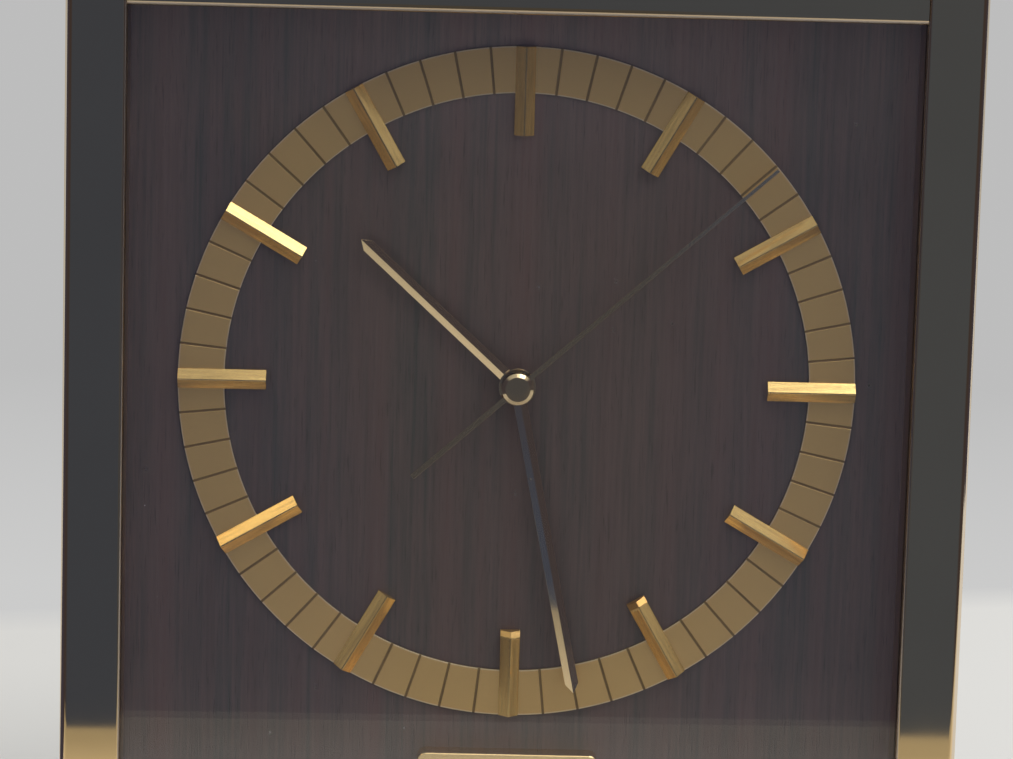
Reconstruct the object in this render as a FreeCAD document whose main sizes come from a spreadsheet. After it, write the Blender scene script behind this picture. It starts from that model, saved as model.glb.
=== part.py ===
import FreeCAD, Part
import os
import re
import Sketcher
from FreeCAD import Placement, Rotation, Vector

# Desk clock with a drum calendar. Millimetres, X to the right, Y to the back, Z up.
# The origin is at the middle of the footprint, on the table.

os.makedirs("parts", exist_ok=True)
doc = FreeCAD.newDocument("desk_clock")

# ---------------------------------------------------------------- driving dimensions
SIZES = {
    # frame
    "depth": 52.0,            # front of the frame to the back of the knobs
    "foot_t": 1.7,
    "foot_r": 5.0,
    "face_w": 10.6,           # width of a frame bar, seen from the front
    "frame_d": 22.0,
    "opening_w": 137.9,       # visible dial panel
    "above_axis": 65.95,      # hand axis to the top rail
    "below_axis": 85.7,       # hand axis to the bottom rail
    "lip": 2.0,
    "lip_t": 1.4,
    "edge_r": 1.3,            # rounding of the front edges
    "inner_edge_r": 0.6,      # and of the posts' edges beside the glass
    "frame_screw_r": 1.5,
    "frame_screw_head_r": 2.8,
    "frame_screw_head_t": 1.8,
    "frame_screw_len": 18.0,
    # layers behind the lip
    "glass_t": 2.0,
    "air_gap": 6.6,           # glass to the chapter ring
    "panel_t": 6.0,
    "seat_gap": 0.1,
    "run_gap": 0.05,          # radial clearance of a turning shaft
    "clear_gap": 0.3,
    # dial
    "ring_r": 60.0,
    "ring_w": 8.2,
    "ring_t": 1.2,
    "ring_proud": 0.5,
    "division_w": 0.45,
    "division_deep": 0.2,
    "divisions": 60,
    "hours": 12,
    "marker_w": 3.5,
    "marker_l": 15.6,
    "marker_side": 0.2,       # upright side under the roof
    "marker_rise": 1.45,      # height of the roof above its sides
    "marker_flat": 0.2,      # flat along the ridge
    "axis_hole_r": 2.6,
    # hands
    "hour_hand_l": 38.0,
    "hour_hand_w": 2.35,
    "hour_boss_r": 3.3,
    "minute_hand_l": 56.2,
    "minute_hand_w": 2.4,
    "hour_side": 0.1,         # upright edges under the roofs of the hands
    "minute_side": 0.25,
    "hand_tip_l": 1.7,
    "minute_boss_r": 2.9,
    "second_hand_l": 59.7,
    "second_tail_l": 24.4,
    "second_hand_w": 0.55,
    "second_tail_w": 0.95,
    "second_boss_r": 2.1,
    "hand_t": 0.6,
    "second_t": 0.3,
    "hand_gap": 0.55,         # between neighbouring hands
    "hour_hand_lift": 1.3,    # ring surface to the back of the hour hand
    "cap_r": 2.8,
    "cap_t": 0.5,
    "cap_rise": 0.4,          # height of the cap's cone
    "cap_slope": 57.0,        # its side, from the axis
    "hour_angle": 312.3,      # clockwise from twelve
    "minute_angle": 168.2,
    "second_angle": 48.3,
    # movement
    "move_w": 56.0,
    "move_d": 18.5,
    "move_wall": 1.5,
    "lug_r": 3.0,
    "lug_t": 2.0,
    "lug_screw_r": 1.1,
    "lug_screw_l": 6.0,
    "hour_tube_r": 2.3,
    "minute_tube_r": 1.5,
    "second_shaft_r": 0.5,
    "arbor_r": 0.45,
    "works_module": 0.5,
    "train_module": 0.25,
    "motor_module": 0.28,
    "works_t": 1.2,
    "train_t": 0.6,
    "cannon_teeth": 10,
    "minute_teeth": 30,
    "minute_pinion_teeth": 8,
    "hour_teeth": 32,
    "set_teeth": 12,
    "centre_teeth": 66,
    "third_pinion_teeth": 11,
    "third_teeth": 70,
    "second_pinion_teeth": 7,
    "second_teeth": 60,
    "rotor_pinion_teeth": 6,
    "addendum": 0.7,
    "dedendum": 0.95,
    "tooth_tip": 0.2,         # tooth widths as a share of the pitch
    "tooth_root": 0.6,
    "rotor_r": 3.0,
    "rotor_t": 2.2,
    "stator_t": 0.8,
    "coil_r": 3.4,
    "coil_l": 20.0,
    "board_t": 1.0,
    "bridge_t": 1.0,
    "cell_r": 7.2,
    "cell_l": 49.2,
    "cell_nub_r": 2.75,
    "cell_nub_l": 1.2,
    "contact_t": 0.4,
    # setting knob
    "set_angle": 330.0,       # minute wheel to the knob, clockwise from twelve
    "knob_r": 5.5,
    "knob_t": 3.4,
    "knob_grooves": 20,
    "knob_groove_r": 0.35,
    # calendar
    "bezel_w": 32.3,
    "bezel_h": 13.1,
    "bezel_t": 4.5,
    "bezel_drop": 66.3,       # hand axis to the upper edge of the bezel
    "bezel_c": 0.15,
    "bezel_corner_r": 1.5,
    "window_w": 25.0,
    "window_h": 7.2,
    "mullion_x": -1.7,
    "mullion_w": 2.8,
    "lens_t": 1.0,
    "lens_in": 2.4,           # front of the bezel to the front of the lens
    "drum_r": 10.2,
    "month_faces": 12,
    "tens_faces": 12,
    "units_faces": 10,
    "drum_end": 12.3,
    "month_in": -3.1,
    "tens_in": -0.3,
    "tens_out": 5.9,
    "units_in": 6.2,
    "drum_teeth": 20,
    "drum_addendum": 0.6,
    "drum_gear_w": 2.6,
    "drum_hub_r": 3.0,
    "spindle_r": 1.2,
    "cradle_x": 17.8,         # middle of the clock to the inside of a cradle side
    "cradle_t": 1.5,
    "cradle_drop": 12.4,      # drum axis to the cradle floor
    "cradle_ear": 8.0,
    "skin_t": 1.6,            # wood left in front of the drum pocket
    # rear case
    "case_in": 2.4,           # step from the frame to the case
    "case_wall": 2.2,
    "case_proud": 2.0,        # case back to the back of the knobs
    "boss_r": 3.1,
    "boss_x": 50.0,
    "case_screw_r": 1.5,
    "case_screw_head_r": 2.6,
    "case_screw_head_t": 1.8,
    "case_screw_l": 14.0,
    "hatch_w": 58.0,
    "hatch_top": -9.0,        # below the hand axis
    "hatch_bottom": -31.0,
    "door_t": 1.0,
    "door_over": 3.0,
    "door_travel": 22.0,
    "guide_w": 2.0,
    "guide_lip": 1.2,
    "guide_lip_t": 0.8,
    "grip_ribs": 5,
    "grip_pitch": 2.0,
}

dims = doc.addObject("Spreadsheet::Sheet", "dims")
for row, (name, value) in enumerate(SIZES.items(), 1):
    dims.set("A%d" % row, name)
    dims.set("B%d" % row, repr(value))
    dims.setAlias("B%d" % row, name)
doc.recompute()


# ---------------------------------------------------------------- formulas used in many places
def ex(text):
    """A formula in which every size stands for its cell in the sheet."""
    return re.sub(r"[a-z][a-z_]*", lambda m: "dims." + m[0] if m[0] in SIZES else m[0], str(text))


FRONT = "(-depth / 2)"
BACK = "(depth / 2)"
FRAME_BACK = "(-depth / 2 + frame_d)"
FRAME_X = "(opening_w / 2 + face_w)"
FRAME_H = "(above_axis + below_axis + 2 * face_w)"
FRAME_TOP = "(foot_t + above_axis + below_axis + 2 * face_w)"
AXIS = "(foot_t + face_w + below_axis)"
LIP_X = "(opening_w / 2)"
LIP_TOP = "(foot_t + face_w + below_axis + above_axis)"
LIP_BOTTOM = "(foot_t + face_w)"
GLASS_FRONT = "(-depth / 2 + lip_t)"
GLASS_BACK = "(-depth / 2 + lip_t + glass_t)"
DIAL = "(-depth / 2 + lip_t + glass_t + air_gap)"
PANEL_FRONT = "(-depth / 2 + lip_t + glass_t + air_gap + ring_proud)"
PANEL_BACK = "(-depth / 2 + lip_t + glass_t + air_gap + ring_proud + panel_t)"
SEAT_X = "(opening_w / 2 + lip - seat_gap)"
SEAT_TOP = "(foot_t + face_w + below_axis + above_axis + lip - seat_gap)"
SEAT_BOTTOM = "(foot_t + face_w - lip + seat_gap)"
CASE_BACK = "(depth / 2 - case_proud)"
CASE_X = "(opening_w / 2 + face_w - case_in)"
CASE_TOP = "(foot_t + above_axis + below_axis + 2 * face_w - case_in)"
CASE_SCREWS = tuple((sign + "boss_x", z) for sign in ("-", "")
                    for z in ("(%s - boss_r - 0.1)" % CASE_TOP, "(foot_t + boss_r + 0.1)"))
FRAME_SCREW_Y = "((%s + %s) / 2)" % (GLASS_FRONT, FRAME_BACK)
FRAME_SCREW_Z = ("(foot_t + face_w / 2)", "(%s - face_w / 2)" % FRAME_TOP)
CAL_Z = "(foot_t + face_w + below_axis - bezel_drop - bezel_h / 2)"
RING_IN = "(ring_r - ring_w)"
# drum and thumbwheel together fill the room between the front of the panel and the back
DRUM_MODULE = "((%s - %s - clear_gap) / (2 * (drum_teeth + drum_addendum)))" % (BACK, PANEL_FRONT)
DRUM_TIP = "((drum_teeth / 2 + drum_addendum) * %s)" % DRUM_MODULE
DRUM_Y = "(%s + clear_gap + %s)" % (PANEL_FRONT, DRUM_TIP)
WHEEL_Y = "(%s + drum_teeth * %s)" % (DRUM_Y, DRUM_MODULE)

# hand stack, from the dial to the glass
HOUR_Y = "(%s - hour_hand_lift)" % DIAL
MINUTE_Y = "(%s - hand_t - hand_gap)" % HOUR_Y
SECOND_Y = "(%s - hand_t - hand_gap)" % MINUTE_Y

# movement layers, from the dial panel to the back
MOVE_IN = "(%s + move_wall)" % PANEL_BACK
HOUR_WHEEL_Y = "(%s + 0.3)" % MOVE_IN
CANNON_Y = "(%s + works_t + 0.3)" % HOUR_WHEEL_Y
CENTRE_Y = "(%s + works_t + 0.5)" % CANNON_Y
THIRD_Y = "(%s + train_t + 0.8)" % CENTRE_Y
SECOND_WHEEL_Y = "(%s + train_t + 0.8)" % THIRD_Y
ROTOR_Y = "(%s + train_t + 0.7)" % SECOND_WHEEL_Y
BRIDGE_Y = "(%s + rotor_t + 0.5)" % ROTOR_Y
BOARD_Y = "(%s + bridge_t + 0.6)" % BRIDGE_Y
LID_Y = "(%s + move_d - move_wall)" % PANEL_BACK
WORKS_ARM = "((cannon_teeth + minute_teeth) * works_module / 2)"
TRAIN_ARM = "((third_teeth + second_pinion_teeth) * train_module / 2)"
ROTOR_ARM = "((second_teeth + rotor_pinion_teeth) * motor_module / 2)"
SET_ARM = "((minute_teeth + set_teeth) * works_module / 2)"
CELL_Z = "(%s - move_w / 2 + move_wall + cell_r + 0.3)" % AXIS
CELL_Y = "(%s + cell_r + 0.3)" % MOVE_IN


# ---------------------------------------------------------------- modelling helpers
def bind(obj, prop, text):
    obj.setExpression(prop, ex(text))


def place(obj, x=0, y=0, z=0):
    for axis, text in (("x", x), ("y", y), ("z", z)):
        bind(obj, "Placement.Base." + axis, text)


def box(name, x, y, z):
    """A block between pairs of formulas."""
    obj = doc.addObject("Part::Box", name)
    for prop, (start, end) in (("Length", x), ("Width", y), ("Height", z)):
        bind(obj, prop, "(%s) - (%s)" % (end, start))
    place(obj, x[0], y[0], z[0])
    return obj


def both(text):
    """The pair of formulas that lies evenly about zero."""
    return "-(%s)" % text, text


def cylinder(name, radius, start, end, turn, **where):
    obj = doc.addObject("Part::Cylinder", name)
    obj.Placement = Placement(Vector(), turn)
    bind(obj, "Radius", radius)
    bind(obj, "Height", "(%s) - (%s)" % (end, start))
    place(obj, **where)
    return obj


def rod(name, radius, start, end, x=0, z=AXIS):
    """A cylinder along Y."""
    return cylinder(name, radius, start, end, Rotation(Vector(1, 0, 0), -90), x=x, y=start, z=z)


def cross_rod(name, radius, start, end, y, z=CAL_Z):
    """A cylinder along X."""
    return cylinder(name, radius, start, end, Rotation(Vector(0, 1, 0), 90), x=start, y=y, z=z)


def post(name, radius, start, end, x, y):
    """A cylinder along Z."""
    return cylinder(name, radius, start, end, Rotation(), x=x, y=y, z=start)


def join(name, *parts):
    obj = doc.addObject("Part::MultiFuse", name)
    obj.Shapes = parts
    obj.Refine = True
    return obj


def collect(name, *parts):
    """Separate solids under one name."""
    obj = doc.addObject("Part::Compound", name)
    obj.Links = parts
    return obj


def cut(name, base, *tools):
    obj = doc.addObject("Part::Cut", name)
    obj.Base = base
    obj.Tool = tools[0] if len(tools) == 1 else collect(name + "_tools", *tools)
    obj.Refine = True
    return obj


def make_body(name, **where):
    obj = doc.addObject("PartDesign::Body", name)
    place(obj, **where)
    return obj


def origin_part(body, role):
    return [part for part in body.Origin.OriginFeatures if part.Role == role][0]


def sketch(body, name, role, offset=0, turn=0):
    """A sketch on an origin plane, moved along the plane's normal and turned about it."""
    obj = body.newObject("Sketcher::SketchObject", name)
    obj.AttachmentSupport = [(origin_part(body, role), "")]
    obj.MapMode = "FlatFace"
    bind(obj, "AttachmentOffset.Base.z", offset)
    if turn:
        bind(obj, "AttachmentOffset.Rotation.Angle", turn)
    return obj


def polygon(obj, *corners):
    """A closed outline whose corners are each held by two formulas."""
    first = obj.GeometryCount
    count = len(corners)
    rough = [Rotation(Vector(0, 0, 1), 360.0 * k / count).multVec(Vector(9, 0, 0)) for k in range(count)]
    for k in range(count):
        obj.addGeometry(Part.LineSegment(rough[k], rough[(k + 1) % count]), False)
    for k in range(count):
        line = first + k
        obj.addConstraint(Sketcher.Constraint("Coincident", line, 2, first + (k + 1) % count, 1))
    for k, (x, y) in enumerate(corners):
        for kind, text, value in (("DistanceX", x, rough[k].x), ("DistanceY", y, rough[k].y)):
            number = obj.addConstraint(Sketcher.Constraint(kind, -1, 1, first + k, 1, value))
            label = "%s%d" % (kind[-1], first + k)
            obj.renameConstraint(number, label)
            bind(obj, "Constraints." + label, text)


def circle(obj, radius, x=None, y=None):
    index = obj.addGeometry(Part.Circle(Vector(0, 0, 0), Vector(0, 0, 1), 1 + obj.GeometryCount), False)
    if x is None:
        obj.addConstraint(Sketcher.Constraint("Coincident", index, 3, -1, 1))
    else:
        for kind, text in (("DistanceX", x), ("DistanceY", y)):
            number = obj.addConstraint(Sketcher.Constraint(kind, -1, 1, index, 3, 1.0))
            label = "%s%d" % (kind[-1], index)
            obj.renameConstraint(number, label)
            bind(obj, "Constraints." + label, text)
    number = obj.addConstraint(Sketcher.Constraint("Radius", index, 1.0 + index))
    obj.renameConstraint(number, "R%d" % index)
    bind(obj, "Constraints.R%d" % index, radius)


def pad(body, profile, length, midplane=False):
    obj = body.newObject("PartDesign::Pad", profile.Name + "_pad")
    obj.Profile = profile
    obj.SideType = "Symmetric" if midplane else "One side"
    bind(obj, "Length", length)
    profile.Visibility = False
    return obj


def pocket(body, profile):
    """Cuts the outline right through the body, on both sides of the sketch."""
    obj = body.newObject("PartDesign::Pocket", profile.Name + "_pocket")
    obj.Profile = profile
    obj.SideType = "Symmetric"
    bind(obj, "Length", "4 * depth")
    profile.Visibility = False
    return obj


def soften(body, name, base, radius, wanted):
    """Rounds those edges of the newest feature that pass the test."""
    doc.recompute()
    obj = body.newObject("PartDesign::Fillet", name)
    obj.Base = (base, ["Edge%d" % (k + 1) for k, edge in enumerate(base.Shape.Edges)
                       if wanted(edge.BoundBox, base.Shape.BoundBox)])
    bind(obj, "Radius", radius)
    return obj


def front_edge(along):
    """Picks the edges of the front face that run the given way."""
    return lambda edge, whole: edge.YMax < whole.YMin + 0.01 and getattr(edge, along) > 1


def upright_edge(inner):
    """Picks the front edge of a post beside the glass, or the one on the outside."""
    return lambda edge, whole: (front_edge("ZLength")(edge, whole)
                                and (abs(edge.Center.x) < abs(whole.Center.x)) == inner)


def repeat(body, name, count, *features):
    """The features repeated evenly about the body's Y axis."""
    obj = body.newObject("PartDesign::PolarPattern", name)
    obj.Originals = list(features)
    obj.Axis = (origin_part(body, "Y_Axis"), [""])
    obj.Angle = 360
    bind(obj, "Occurrences", count)
    body.Tip = obj
    return obj


def disc(body, name, radius, start, thick, bore=None):
    """A round plate about the body's Y axis, from start towards the back."""
    outline = sketch(body, name, "XZ_Plane", "-(%s) - (%s)" % (start, thick))
    circle(outline, radius)
    if bore:
        circle(outline, bore)
    return pad(body, outline, thick)


def toothing(body, name, teeth, module, start, thick, phase="0", bore=None, add="addendum"):
    """A spur gear about the body's Y axis; phase turns its first tooth clockwise from the top."""
    root = "((%s / 2 - dedendum) * %s)" % (teeth, module)
    tip = "((%s / 2 + %s) * %s)" % (teeth, add, module)
    disc(body, name, root, start, thick, bore)
    tooth = sketch(body, name + "_tooth", "XZ_Plane", "-(%s) - (%s)" % (start, thick), "-(%s)" % phase)
    low, high = ("(pi / 2 * %s * %s)" % (module, share) for share in ("tooth_root", "tooth_tip"))
    inner = "%s * 0.85" % root
    polygon(tooth, ("-" + low, inner), (low, inner), (low, "sqrt(%s ^ 2 - %s ^ 2)" % (root, low)),
            (high, tip), ("-" + high, tip), ("-" + low, "sqrt(%s ^ 2 - %s ^ 2)" % (root, low)))
    return repeat(body, name + "_teeth", teeth, pad(body, tooth, thick))


NODES = []


def keep(obj, name=None):
    """Marks an object as a piece of the clock."""
    obj.Label = name or obj.Name
    NODES.append(obj)
    return obj


# ---------------------------------------------------------------- frame
def frame_drills(name, radius, start, end):
    """Holes along X for the frame screws, at both ends of both posts."""
    return [cross_rod("%s_%s%d" % (name, side, k), radius,
                      start if side == "right" else "-(%s)" % end,
                      end if side == "right" else "-(%s)" % start, FRAME_SCREW_Y, z)
            for side in ("left", "right") for k, z in enumerate(FRAME_SCREW_Z)]


for side, sign in (("left", "-"), ("right", "")):
    upright = make_body("post_" + side, z="foot_t")
    outline = sketch(upright, "post_outline_" + side, "XY_Plane")
    corners = (
        (FRAME_X, FRONT),
        (LIP_X, FRONT),
        (LIP_X, GLASS_FRONT),
        ("%s + lip" % LIP_X, GLASS_FRONT),
        ("%s + lip" % LIP_X, FRAME_BACK),
        (FRAME_X, FRAME_BACK),
    )
    polygon(outline, *[("%s(%s)" % (sign, x), y) for x, y in corners])
    bar = pad(upright, outline, FRAME_H)
    bar = soften(upright, "post_inner_edge_" + side, bar, "inner_edge_r", upright_edge(True))
    soften(upright, "post_outer_edge_" + side, bar, "edge_r", upright_edge(False))
    drills = frame_drills("post_hole_" + side, "frame_screw_r", LIP_X, FRAME_X)
    sinks = frame_drills("post_sink_" + side, "frame_screw_head_r", "%s - frame_screw_head_t" % FRAME_X,
                         "%s + 1" % FRAME_X)
    keep(cut("frame_post_" + side, upright, join("post_drills_" + side, *(drills + sinks))))

for side, sign, height in (("top", "", LIP_TOP), ("bottom", "-", LIP_BOTTOM)):
    rail = make_body("rail_" + side, z=height)
    strip = sketch(rail, "rail_lip_" + side, "YZ_Plane")
    corners = ((FRONT, "0"), (GLASS_FRONT, "0"), (GLASS_FRONT, "face_w"), (FRONT, "face_w"))
    polygon(strip, *[(y, "%s(%s)" % (sign, z)) for y, z in corners])
    lip_pad = pad(rail, strip, "opening_w", midplane=True)
    soften(rail, "rail_edge_" + side, lip_pad, "edge_r", front_edge("XLength"))
    bar = sketch(rail, "rail_bar_" + side, "YZ_Plane")
    corners = ((GLASS_FRONT, "lip"), (FRAME_BACK, "lip"), (FRAME_BACK, "face_w"), (GLASS_FRONT, "face_w"))
    polygon(bar, *[(y, "%s(%s)" % (sign, z)) for y, z in corners])
    pad(rail, bar, "opening_w + 2 * lip", midplane=True)
    drills = frame_drills("rail_hole_" + side, "frame_screw_r", "%s - frame_screw_len" % FRAME_X, FRAME_X)
    taps = [rod("rail_tap_%s%d" % (side, k), "case_screw_r", "%s - case_screw_l + 2" % FRAME_BACK,
                "%s + 1" % FRAME_BACK, x=x, z=z) for k, (x, z) in enumerate(CASE_SCREWS)]
    keep(cut("frame_rail_" + side, rail, *(drills + taps)))

shanks = frame_drills("frame_shank", "frame_screw_r", "%s - frame_screw_len" % FRAME_X,
                      "%s - frame_screw_head_t" % FRAME_X)
heads = frame_drills("frame_head", "frame_screw_head_r", "%s - frame_screw_head_t" % FRAME_X, FRAME_X)
slots = [box("frame_slot%d" % k, ("%s(%s) - 0.6" % (sign, FRAME_X), "%s(%s) + 0.6" % (sign, FRAME_X)),
             both("frame_screw_head_r * 2"), ("%s - 0.4" % z, "%s + 0.4" % z))
         for k, (sign, z) in enumerate((s, z) for s in ("-", "") for z in FRAME_SCREW_Z)]
keep(cut("frame_screws", join("frame_screw_blanks", *(shanks + heads)), *slots))
keep(collect("feet", *[
    post("foot_%d%s" % (bool(x), y), "foot_r", "0", "foot_t", y=where,
         x="%s(%s - 2 * foot_r)" % (x, FRAME_X))
    for x in ("-", "") for y, where in (("f", "%s + 8" % FRONT), ("b", "%s - 8" % CASE_BACK))]))


# ---------------------------------------------------------------- glass, panel and dial
keep(box("front_glass", both(SEAT_X), (GLASS_FRONT, GLASS_BACK), (SEAT_BOTTOM, SEAT_TOP)))
keep(cut("glass_spacer",
         box("spacer_block", both(SEAT_X), (GLASS_BACK, PANEL_FRONT), (SEAT_BOTTOM, SEAT_TOP)),
         box("spacer_opening", both(LIP_X), ("%s - 1" % GLASS_BACK, "%s + 1" % PANEL_FRONT),
             (LIP_BOTTOM, LIP_TOP))))

LUG = "(move_w / 2 + lug_screw_r * 2 + 0.2)"
LUGS = tuple(("%s%s" % (sx, LUG), "%s %s %s" % (AXIS, sz, "(move_w / 2 - lug_r)"))
             for sx in ("-", "") for sz in ("-", "+"))
EAR_X = "(cradle_x + cradle_t + cradle_ear / 2)"
EARS = tuple(("%s%s" % (sx, EAR_X), "%s %s 6" % (CAL_Z, sz)) for sx in ("-", "") for sz in ("-", "+"))


def lug_screws(name, places, head_y):
    """Small round-headed wood screws that go forwards into the dial panel."""
    blanks, slots = [], []
    for k, (x, z) in enumerate(places):
        tip_y = "%s - lug_screw_l" % head_y
        blanks.append(rod("%s_shank%d" % (name, k), "lug_screw_r", tip_y, head_y, x, z))
        blanks.append(rod("%s_head%d" % (name, k), "lug_screw_r * 2", head_y, "%s + 1.2" % head_y, x, z))
        slots.append(box("%s_slot%d" % (name, k), ("%s - 3" % x, "%s + 3" % x),
                         ("%s + 0.7" % head_y, "%s + 2" % head_y), ("%s - 0.3" % z, "%s + 0.3" % z)))
    return cut(name, join(name + "_blanks", *blanks), *slots)


WINDOW_X = "(drum_end + drum_gear_w + clear_gap)"
WINDOW_Z = "(bezel_h / 2 - 0.75)"
plank = box("panel_plank", both(SEAT_X), (PANEL_FRONT, PANEL_BACK), (SEAT_BOTTOM, SEAT_TOP))
ring_seat = cut("ring_seat",
                rod("ring_seat_out", "ring_r + 0.02", "%s - 1" % PANEL_FRONT, "%s + ring_t" % DIAL),
                rod("ring_seat_in", "%s - 0.02" % RING_IN, "%s - 2" % PANEL_FRONT, PANEL_BACK))
panel_cuts = [
    ring_seat,
    rod("axis_hole", "axis_hole_r", "%s - 1" % PANEL_FRONT, "%s + 1" % PANEL_BACK),
    box("calendar_window", both(WINDOW_X), ("%s - 1" % PANEL_FRONT, "%s + 1" % PANEL_BACK),
        ("%s - %s" % (CAL_Z, WINDOW_Z), "%s + %s" % (CAL_Z, WINDOW_Z))),
    box("drum_pocket", both("cradle_x"), ("%s + skin_t" % PANEL_FRONT, "%s + 1" % PANEL_BACK),
        ("%s - %s - 1" % (CAL_Z, DRUM_TIP), "%s + %s + 1" % (CAL_Z, DRUM_TIP))),
]
for k, (x, z) in enumerate(LUGS + EARS):
    panel_cuts.append(rod("panel_pilot%d" % k, "lug_screw_r", "%s + cradle_t - lug_screw_l" % PANEL_BACK,
                          "%s + 1" % PANEL_BACK, x, z))
keep(cut("dial_panel", plank, *panel_cuts))

ring = make_body("chapter_ring", z=AXIS)
blank = sketch(ring, "ring_outline", "XZ_Plane", "-%s - ring_t" % DIAL)
circle(blank, "ring_r")
circle(blank, RING_IN)
pad(ring, blank, "ring_t")
groove = sketch(ring, "division_outline", "XY_Plane", "%s - 1" % RING_IN)
polygon(groove, ("-division_w / 2", "%s - 1" % DIAL), ("division_w / 2", "%s - 1" % DIAL),
        ("division_w / 2", "%s + division_deep" % DIAL), ("-division_w / 2", "%s + division_deep" % DIAL))
division = ring.newObject("PartDesign::Pocket", "division")
division.Profile = groove
division.Reversed = True
bind(division, "Length", "ring_w + 2")
groove.Visibility = False
repeat(ring, "divisions", "divisions", division)
keep(ring)

MARKER_SIDE = "(%s - marker_side)" % DIAL
MARKER_TOP = "(%s - marker_rise)" % MARKER_SIDE
markers = make_body("hour_markers", z=AXIS)
roof = sketch(markers, "marker_roof", "XY_Plane", "ring_r - marker_l")
polygon(roof, ("-marker_w / 2", DIAL), ("-marker_w / 2", MARKER_SIDE),
        ("-marker_flat / 2", MARKER_TOP), ("marker_flat / 2", MARKER_TOP),
        ("marker_w / 2", MARKER_SIDE), ("marker_w / 2", DIAL))
roof_pad = pad(markers, roof, "marker_l")
root = sketch(markers, "marker_root", "XY_Plane", "ring_r - marker_l")
polygon(root, ("-marker_w / 2", PANEL_FRONT), ("-marker_w / 2", DIAL), ("marker_w / 2", DIAL),
        ("marker_w / 2", PANEL_FRONT))
root_pad = pad(markers, root, "marker_l - ring_w - 0.05")
repeat(markers, "marker_round", "hours", roof_pad, root_pad)
keep(markers)


# ---------------------------------------------------------------- calendar
def high_low(height):
    return "%s - %s" % (CAL_Z, height), "%s + %s" % (CAL_Z, height)


BEZEL_FRONT = "(%s - bezel_t)" % PANEL_FRONT
bezel = make_body("bezel_block", z=CAL_Z)
rim = sketch(bezel, "bezel_outline", "XZ_Plane", "-%s" % PANEL_FRONT)
polygon(rim, *[("%sbezel_w / 2" % x, "%sbezel_h / 2" % z)
               for x, z in (("-", "-"), ("", "-"), ("", ""), ("-", ""))])
bezel_pad = pad(bezel, rim, "bezel_t")
rounded = soften(bezel, "bezel_corners", bezel_pad, "bezel_corner_r", lambda edge, whole: edge.YLength > 1)
doc.recompute()
front_face = min(range(len(rounded.Shape.Faces)), key=lambda k: rounded.Shape.Faces[k].CenterOfMass.y)
soft = bezel.newObject("PartDesign::Chamfer", "bezel_chamfer")
soft.Base = (rounded, ["Face%d" % (front_face + 1)])
bind(soft, "Size", "bezel_c")
month_side = ("-window_w / 2", "mullion_x - mullion_w / 2")
day_side = ("mullion_x + mullion_w / 2", "window_w / 2")
through = ("%s - 1" % BEZEL_FRONT, "%s + 1" % PANEL_FRONT)
LENS_FRONT = "(%s + lens_in)" % BEZEL_FRONT
keep(cut("calendar_bezel", bezel,
         box("month_opening", month_side, through, high_low("window_h / 2")),
         box("day_opening", day_side, through, high_low("window_h / 2")),
         box("lens_rebate", both("window_w / 2 + 0.8"), (LENS_FRONT, "%s + 1" % PANEL_FRONT),
             high_low("(window_h / 2 + 0.8)"))))
keep(box("calendar_lens", both("window_w / 2 + 0.7"), (LENS_FRONT, "%s + lens_t" % LENS_FRONT),
         high_low("(window_h / 2 + 0.7)")))


def drum(name, faces, flat, gear_x, hub):
    """A many-sided number drum with a gear and a hub beside it, on the drum spindle."""
    gear = make_body(name + "_gear", x=gear_x, y=DRUM_Y, z=CAL_Z)
    gear.Placement.Rotation = Rotation(Vector(0, 0, 1), -90)
    toothing(gear, name + "_gear_disc", "drum_teeth", DRUM_MODULE, "0", "drum_gear_w", "0",
             "spindle_r + run_gap", "drum_addendum")
    prism = doc.addObject("Part::Prism", name + "_prism")
    # one flat faces the window squarely
    prism.Placement.Rotation = (Rotation(Vector(1, 0, 0), 180.0 / SIZES[faces] - 90)
                                * Rotation(Vector(0, 1, 0), 90))
    bind(prism, "Polygon", faces)
    bind(prism, "Circumradius", "drum_r")
    bind(prism, "Height", "(%s) - (%s)" % (flat[1], flat[0]))
    place(prism, flat[0], DRUM_Y, CAL_Z)
    collar = cross_rod(name + "_collar", "drum_hub_r", hub[0], hub[1], DRUM_Y)
    bore = cross_rod(name + "_bore", "spindle_r + run_gap", "-cradle_x - 1", "cradle_x + 1", DRUM_Y)
    return keep(cut(name, join(name + "_solid", gear, prism, collar), bore))


def thumbwheel(name, gear_x, hub):
    """A toothed wheel that meshes with a drum and reaches out through the back."""
    wheel = make_body(name + "_gear", x=gear_x, y=WHEEL_Y, z=CAL_Z)
    wheel.Placement.Rotation = Rotation(Vector(0, 0, 1), -90)
    toothing(wheel, name + "_disc", "drum_teeth", DRUM_MODULE, "0", "drum_gear_w",
             "(180 / drum_teeth)", "spindle_r + run_gap", "drum_addendum")
    collar = cross_rod(name + "_collar", "drum_hub_r", hub[0], hub[1], WHEEL_Y)
    bore = cross_rod(name + "_bore", "spindle_r + run_gap", "-cradle_x - 1", "cradle_x + 1", WHEEL_Y)
    return keep(cut(name, join(name + "_solid", wheel, collar), bore))


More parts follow.
